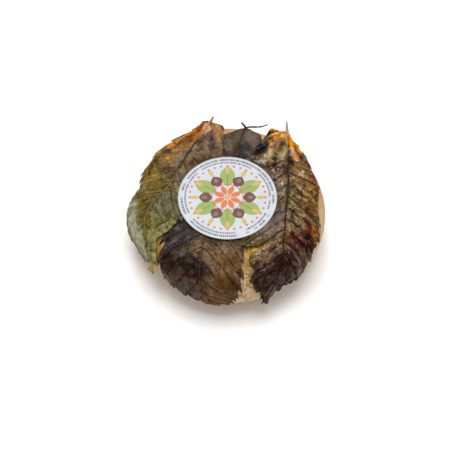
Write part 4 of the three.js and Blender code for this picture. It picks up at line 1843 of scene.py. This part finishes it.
RIGHT_LEAF = Leaf(
    node="leaf_right",
    stalk=((49, 69.5, 12), (48.8, 66.6, 10.4), (48.6, 63.6, 8.8)),
    midrib=(
        (48.5, 59.5), (48.4, 53), (49.3, 36), (49, 11), (46.8, -14), (45.1, -40),
        (44, -54), (39.8, -71), (37.2, -82), (34.6, -89.5), (33.2, -94.5),
    ),
    sun=(2.5, 13, 27.5, 33.5, 38.5, 34.5, 30.5, 28, 16.5, 8.5, 3.6),
    shade=(12, 31, 46, 53, 48, 43.5, 37.5, 32, 25.5, 12, 3.2),
    ragged=1.2,
    teeth=(2.2, 2.4),
    pucker=0.75,
    overlap=(-1.0, 0.25, 0.5),
    stiff_base=(0.17, 7.0),
    free_tip=(0.12, 3.0),
    tears=(Tear(Side.SHADE, 8 / 14, 0.014, 0.86), Tear(Side.SHADE, 0.555, 0.035, 0.3)),
    humps=(
        Hump(Side.SHADE, (0.05, 0.72), (0.07, 0.2), 2.6),
        Hump(Side.SUN, (0.06, 0.7), (0.06, 0.3), 1.2),
    ),
    flap=1.6,
    ears=(-3.5, 2.2),
    ragged_base=3.2,
    seed=63,
    ridge=-0.35,
    folds=0.5,
    crinkle=0.3,
    buckle=0.8,
    pleats=0.9,
    finish=LeafFinish(
        name="leaf_right",
        tones=(0x5E4628, 0x76603A),
        stains=(
            # The upper blade, left of the midrib.
            Stain(0x5F4728, (32, 36), (14, 11)),
            Stain(0x876F43, (44, 45), (6, 5)),
            Stain(0x9A8661, (38, 40), (6, 5)),
            Stain(0x3E200F, (40, 28), (7, 5)),
            Stain(0x7C674D, (42, 10), (7, 15)),
            # The amber base, the painted shade of its dark hollow, and the right margin's start.
            Stain(0xE8A038, (35, 60), (8, 5)),
            Stain(0xFFB444, (41, 56), (12, 4.5), 25),
            Stain(0xF8A230, (45, 58), (6, 2), 25),
            Stain(0xA77954, (37, 48), (9, 3), 30),
            # Thin paler and darker streaks along the base's pleats: part of the amber fan's colour, and
            # painted light on their crests and painted shade in their valleys.
            Stain(0xA6550E, (37, 54.5), (9, 1.2), 28),
            Stain(0xEBAB5F, (40, 57), (7, 1.0), 20),
            Stain(0x744730, (40, 50), (8, 1.0), 42),
            Stain(0xEFB688, (38, 50.5), (8, 0.8), 40),
            Stain(0x8A4A18, (32, 57), (4, 3), 50),
            # Nearly black: painted shade in the hollow under the curled base lobe.
            Stain(0x0A0503, (27, 50), (12, 6.5), 50),
            Stain(0xFFA816, (56, 51), (8, 4.5), -60),
            Stain(0xC3B39F, (53, 45), (5, 3.5)),
            Stain(0xA86333, (58, 40), (7, 4), -60),
            # Right of the midrib, with a forked vein.
            Stain(0x7B592B, (62, 22), (18, 9), -80),
            Stain(0x886127, (66, 0), (12, 6), -90),
            Stain(0x241208, (60, 5), (13, 0.7), 76),
            Stain(0x26140C, (52, -16), (12, 0.6), 72),
            Stain(0x6A360F, (71, 16), (14, 4), -80),
            Stain(0x693F15, (68, -14), (10, 6)),
            # Below the label, round the tear.
            Stain(0x766157, (36, -24), (17, 10), -130),
            Stain(0x674E2A, (17, -42), (10, 6), 20),
            Stain(0x080504, (17, -44), (2.4, 1.6)),
            Stain(0x5D4430, (33, -51), (13, 6), 50),
            Stain(0x8C7965, (27, -56), (7, 1.6), 45),
            Stain(0x986813, (24, -50.5), (10, 0.9), 38),
            Stain(0x8D6D3E, (26, -61), (10, 5)),
            # The red-brown lower right and the nearly black tip.
            Stain(0x7A4F2A, (50, -40), (10, 6), -80),
            Stain(0x441400, (60, -40), (11, 10), 0, 1.0),
            Stain(0x5C2A00, (64, -28), (8, 5), -75),
            Stain(0x90500C, (70, -31), (6, 4.5), 60),
            Stain(0x250504, (63, -36), (5, 3), 60),
            Stain(0x280C04, (54, -54), (11, 8)),
            # Purple-grey: the leaf's colour with a painted sheen.
            Stain(0x64463A, (65, -53), (10, 8)),
            Stain(0x2E1512, (42, -72), (26, 14), -10),
            Stain(0x3A0C04, (41, -59), (6, 5)),
            # A paler grey-purple line along the tip's ridge: painted sheen.
            Stain(0x5A4541, (38, -80), (17, 3.5), -110),
            Stain(0x4A2418, (29, -95), (11, 10)),
        ),
        vein=0x120A07,
        vein_strength=0.9,
        ribs=(0xD0A888, 0x3A2C26, 0x241814),
        gloss=(0.22, 0.42),
        shine=1.0,
        sheen_and_bloom=0xCCAE7C,
        sheen_and_bloom_strength=0.22,
        streaks=1.0,
        creases=0.4,
        contrast=1.2,
        dark=0x140803,
        dark_strength=0.6,
        underside=0x8A6A40,
    ),
)


# ---- The studio ---------------------------------------------------------------------------


@dataclass(frozen=True)
class Studio:
    """Pale floor, soft light and the camera."""

    aim: Triple = (0.0, 0.0, 25.0)
    elevation: float = 56.8
    distance: float = 1200.0
    scale: float = 0.821  # millimetres for each pixel at the aim
    frame_pixels: float = 452.0
    sensor: float = 36.0
    aim_right: float = 1.5  # pixels from the frame's middle to the aim
    aim_up: float = 10.0
    surroundings: float = 0.6  # brightness of the white all round
    floor_size: float = 6.0  # metres
    floor_shade: float = 0.93
    softboxes: tuple[tuple[str, Triple, float, float], ...] = (  # name, place, size, share
        ("overhead", (0.05, 0.2, 2.2), 1.3, 0.76),
        ("back", (-0.3, 1.7, 1.9), 0.4, 0.08),
    )

    def camera(self) -> bpy.types.Object:
        """Makes the camera."""
        data = bpy.data.cameras.new("camera")
        data.sensor_width = self.sensor
        data.lens = self.sensor * self.distance / self.scale / self.frame_pixels
        data.shift_x = -self.aim_right / self.frame_pixels
        data.shift_y = -self.aim_up / self.frame_pixels
        camera = bpy.data.objects.new("camera", data)
        tilt = math.radians(self.elevation)
        away = Vector((0.0, -math.cos(tilt), math.sin(tilt))) * self.distance
        camera.location = (Vector(self.aim) + away) * MM
        camera.rotation_euler = (QUARTER_TURN - tilt, 0.0, 0.0)
        bpy.context.scene.collection.objects.link(camera)
        return camera

    def softbox(self, name: str, place: Triple, size: float, share: float) -> None:
        """Makes a square area light that faces the wheel.

        Args:
            name: its name.
            place: where it hangs, in metres.
            size: its side in metres.
            share: what it adds to the brightness of a white surface that lies flat.
        """
        far = Vector(place).length
        data = bpy.data.lights.new(name, "AREA")
        data.size = size
        data.energy = share * (math.pi * far) ** 2 * far / place[2]
        light = bpy.data.objects.new(name, data)
        light.location = place
        light.rotation_euler = Vector(place).to_track_quat("Z", "Y").to_euler()
        bpy.context.scene.collection.objects.link(light)

    def build(self) -> None:
        """Makes the floor, the light, the surroundings and the camera."""
        bpy.ops.mesh.primitive_plane_add(size=self.floor_size, location=(0.0, 0.0, 0.0))
        floor = bpy.context.object
        floor.name = "floor"
        paint = Paint("pale_floor")
        shade = (*[self.floor_shade] * 3, 1.0)
        paint.show(paint.node("ShaderNodeBsdfDiffuse", {}, {"Color": shade}))
        floor.data.materials.append(paint.material)
        for name, place, size, share in self.softboxes:
            self.softbox(name, place, size, share)
        world = bpy.data.worlds.new("studio")
        world.use_nodes = True
        background = world.node_tree.nodes["Background"].inputs
        background["Color"].default_value = (1.0, 1.0, 1.0, 1.0)
        background["Strength"].default_value = self.surroundings
        bpy.context.scene.world = world
        bpy.context.scene.camera = self.camera()
        bpy.context.scene.view_settings.view_transform = "Standard"


def settle(piece: bpy.types.Object, node: str) -> None:
    """Puts a finished piece in the place of its solid.

    Args:
        piece: the finished piece.
        node: the solid that it stands for.
    """
    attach(piece, "root")
    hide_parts(node)
    log.info("%s: %d faces, stands for %s", piece.name, len(piece.data.polygons), node)


def main() -> None:
    """Builds the studio and every piece, from the lowest to the highest."""
    logging.basicConfig(level=logging.INFO, format="%(name)s: %(message)s")
    Studio().build()
    wheel = Wheel(height=WHEEL_TOP)
    settle(wheel.build(), "cheese_wheel")
    pile = Pile()
    for leaf in (MIDDLE_LEAF, LEFT_LEAF, RIGHT_LEAF):
        settle(leaf.build(wheel, pile), leaf.node)
    room = LABEL_BOX[1][2] - LABEL_BOX[0][2]
    label = Label(radius=LABEL_REACH, underside=LABEL_BOX[0][2], room=room)
    settle(label.build(), "label")


if __name__ == "__main__":
    main()
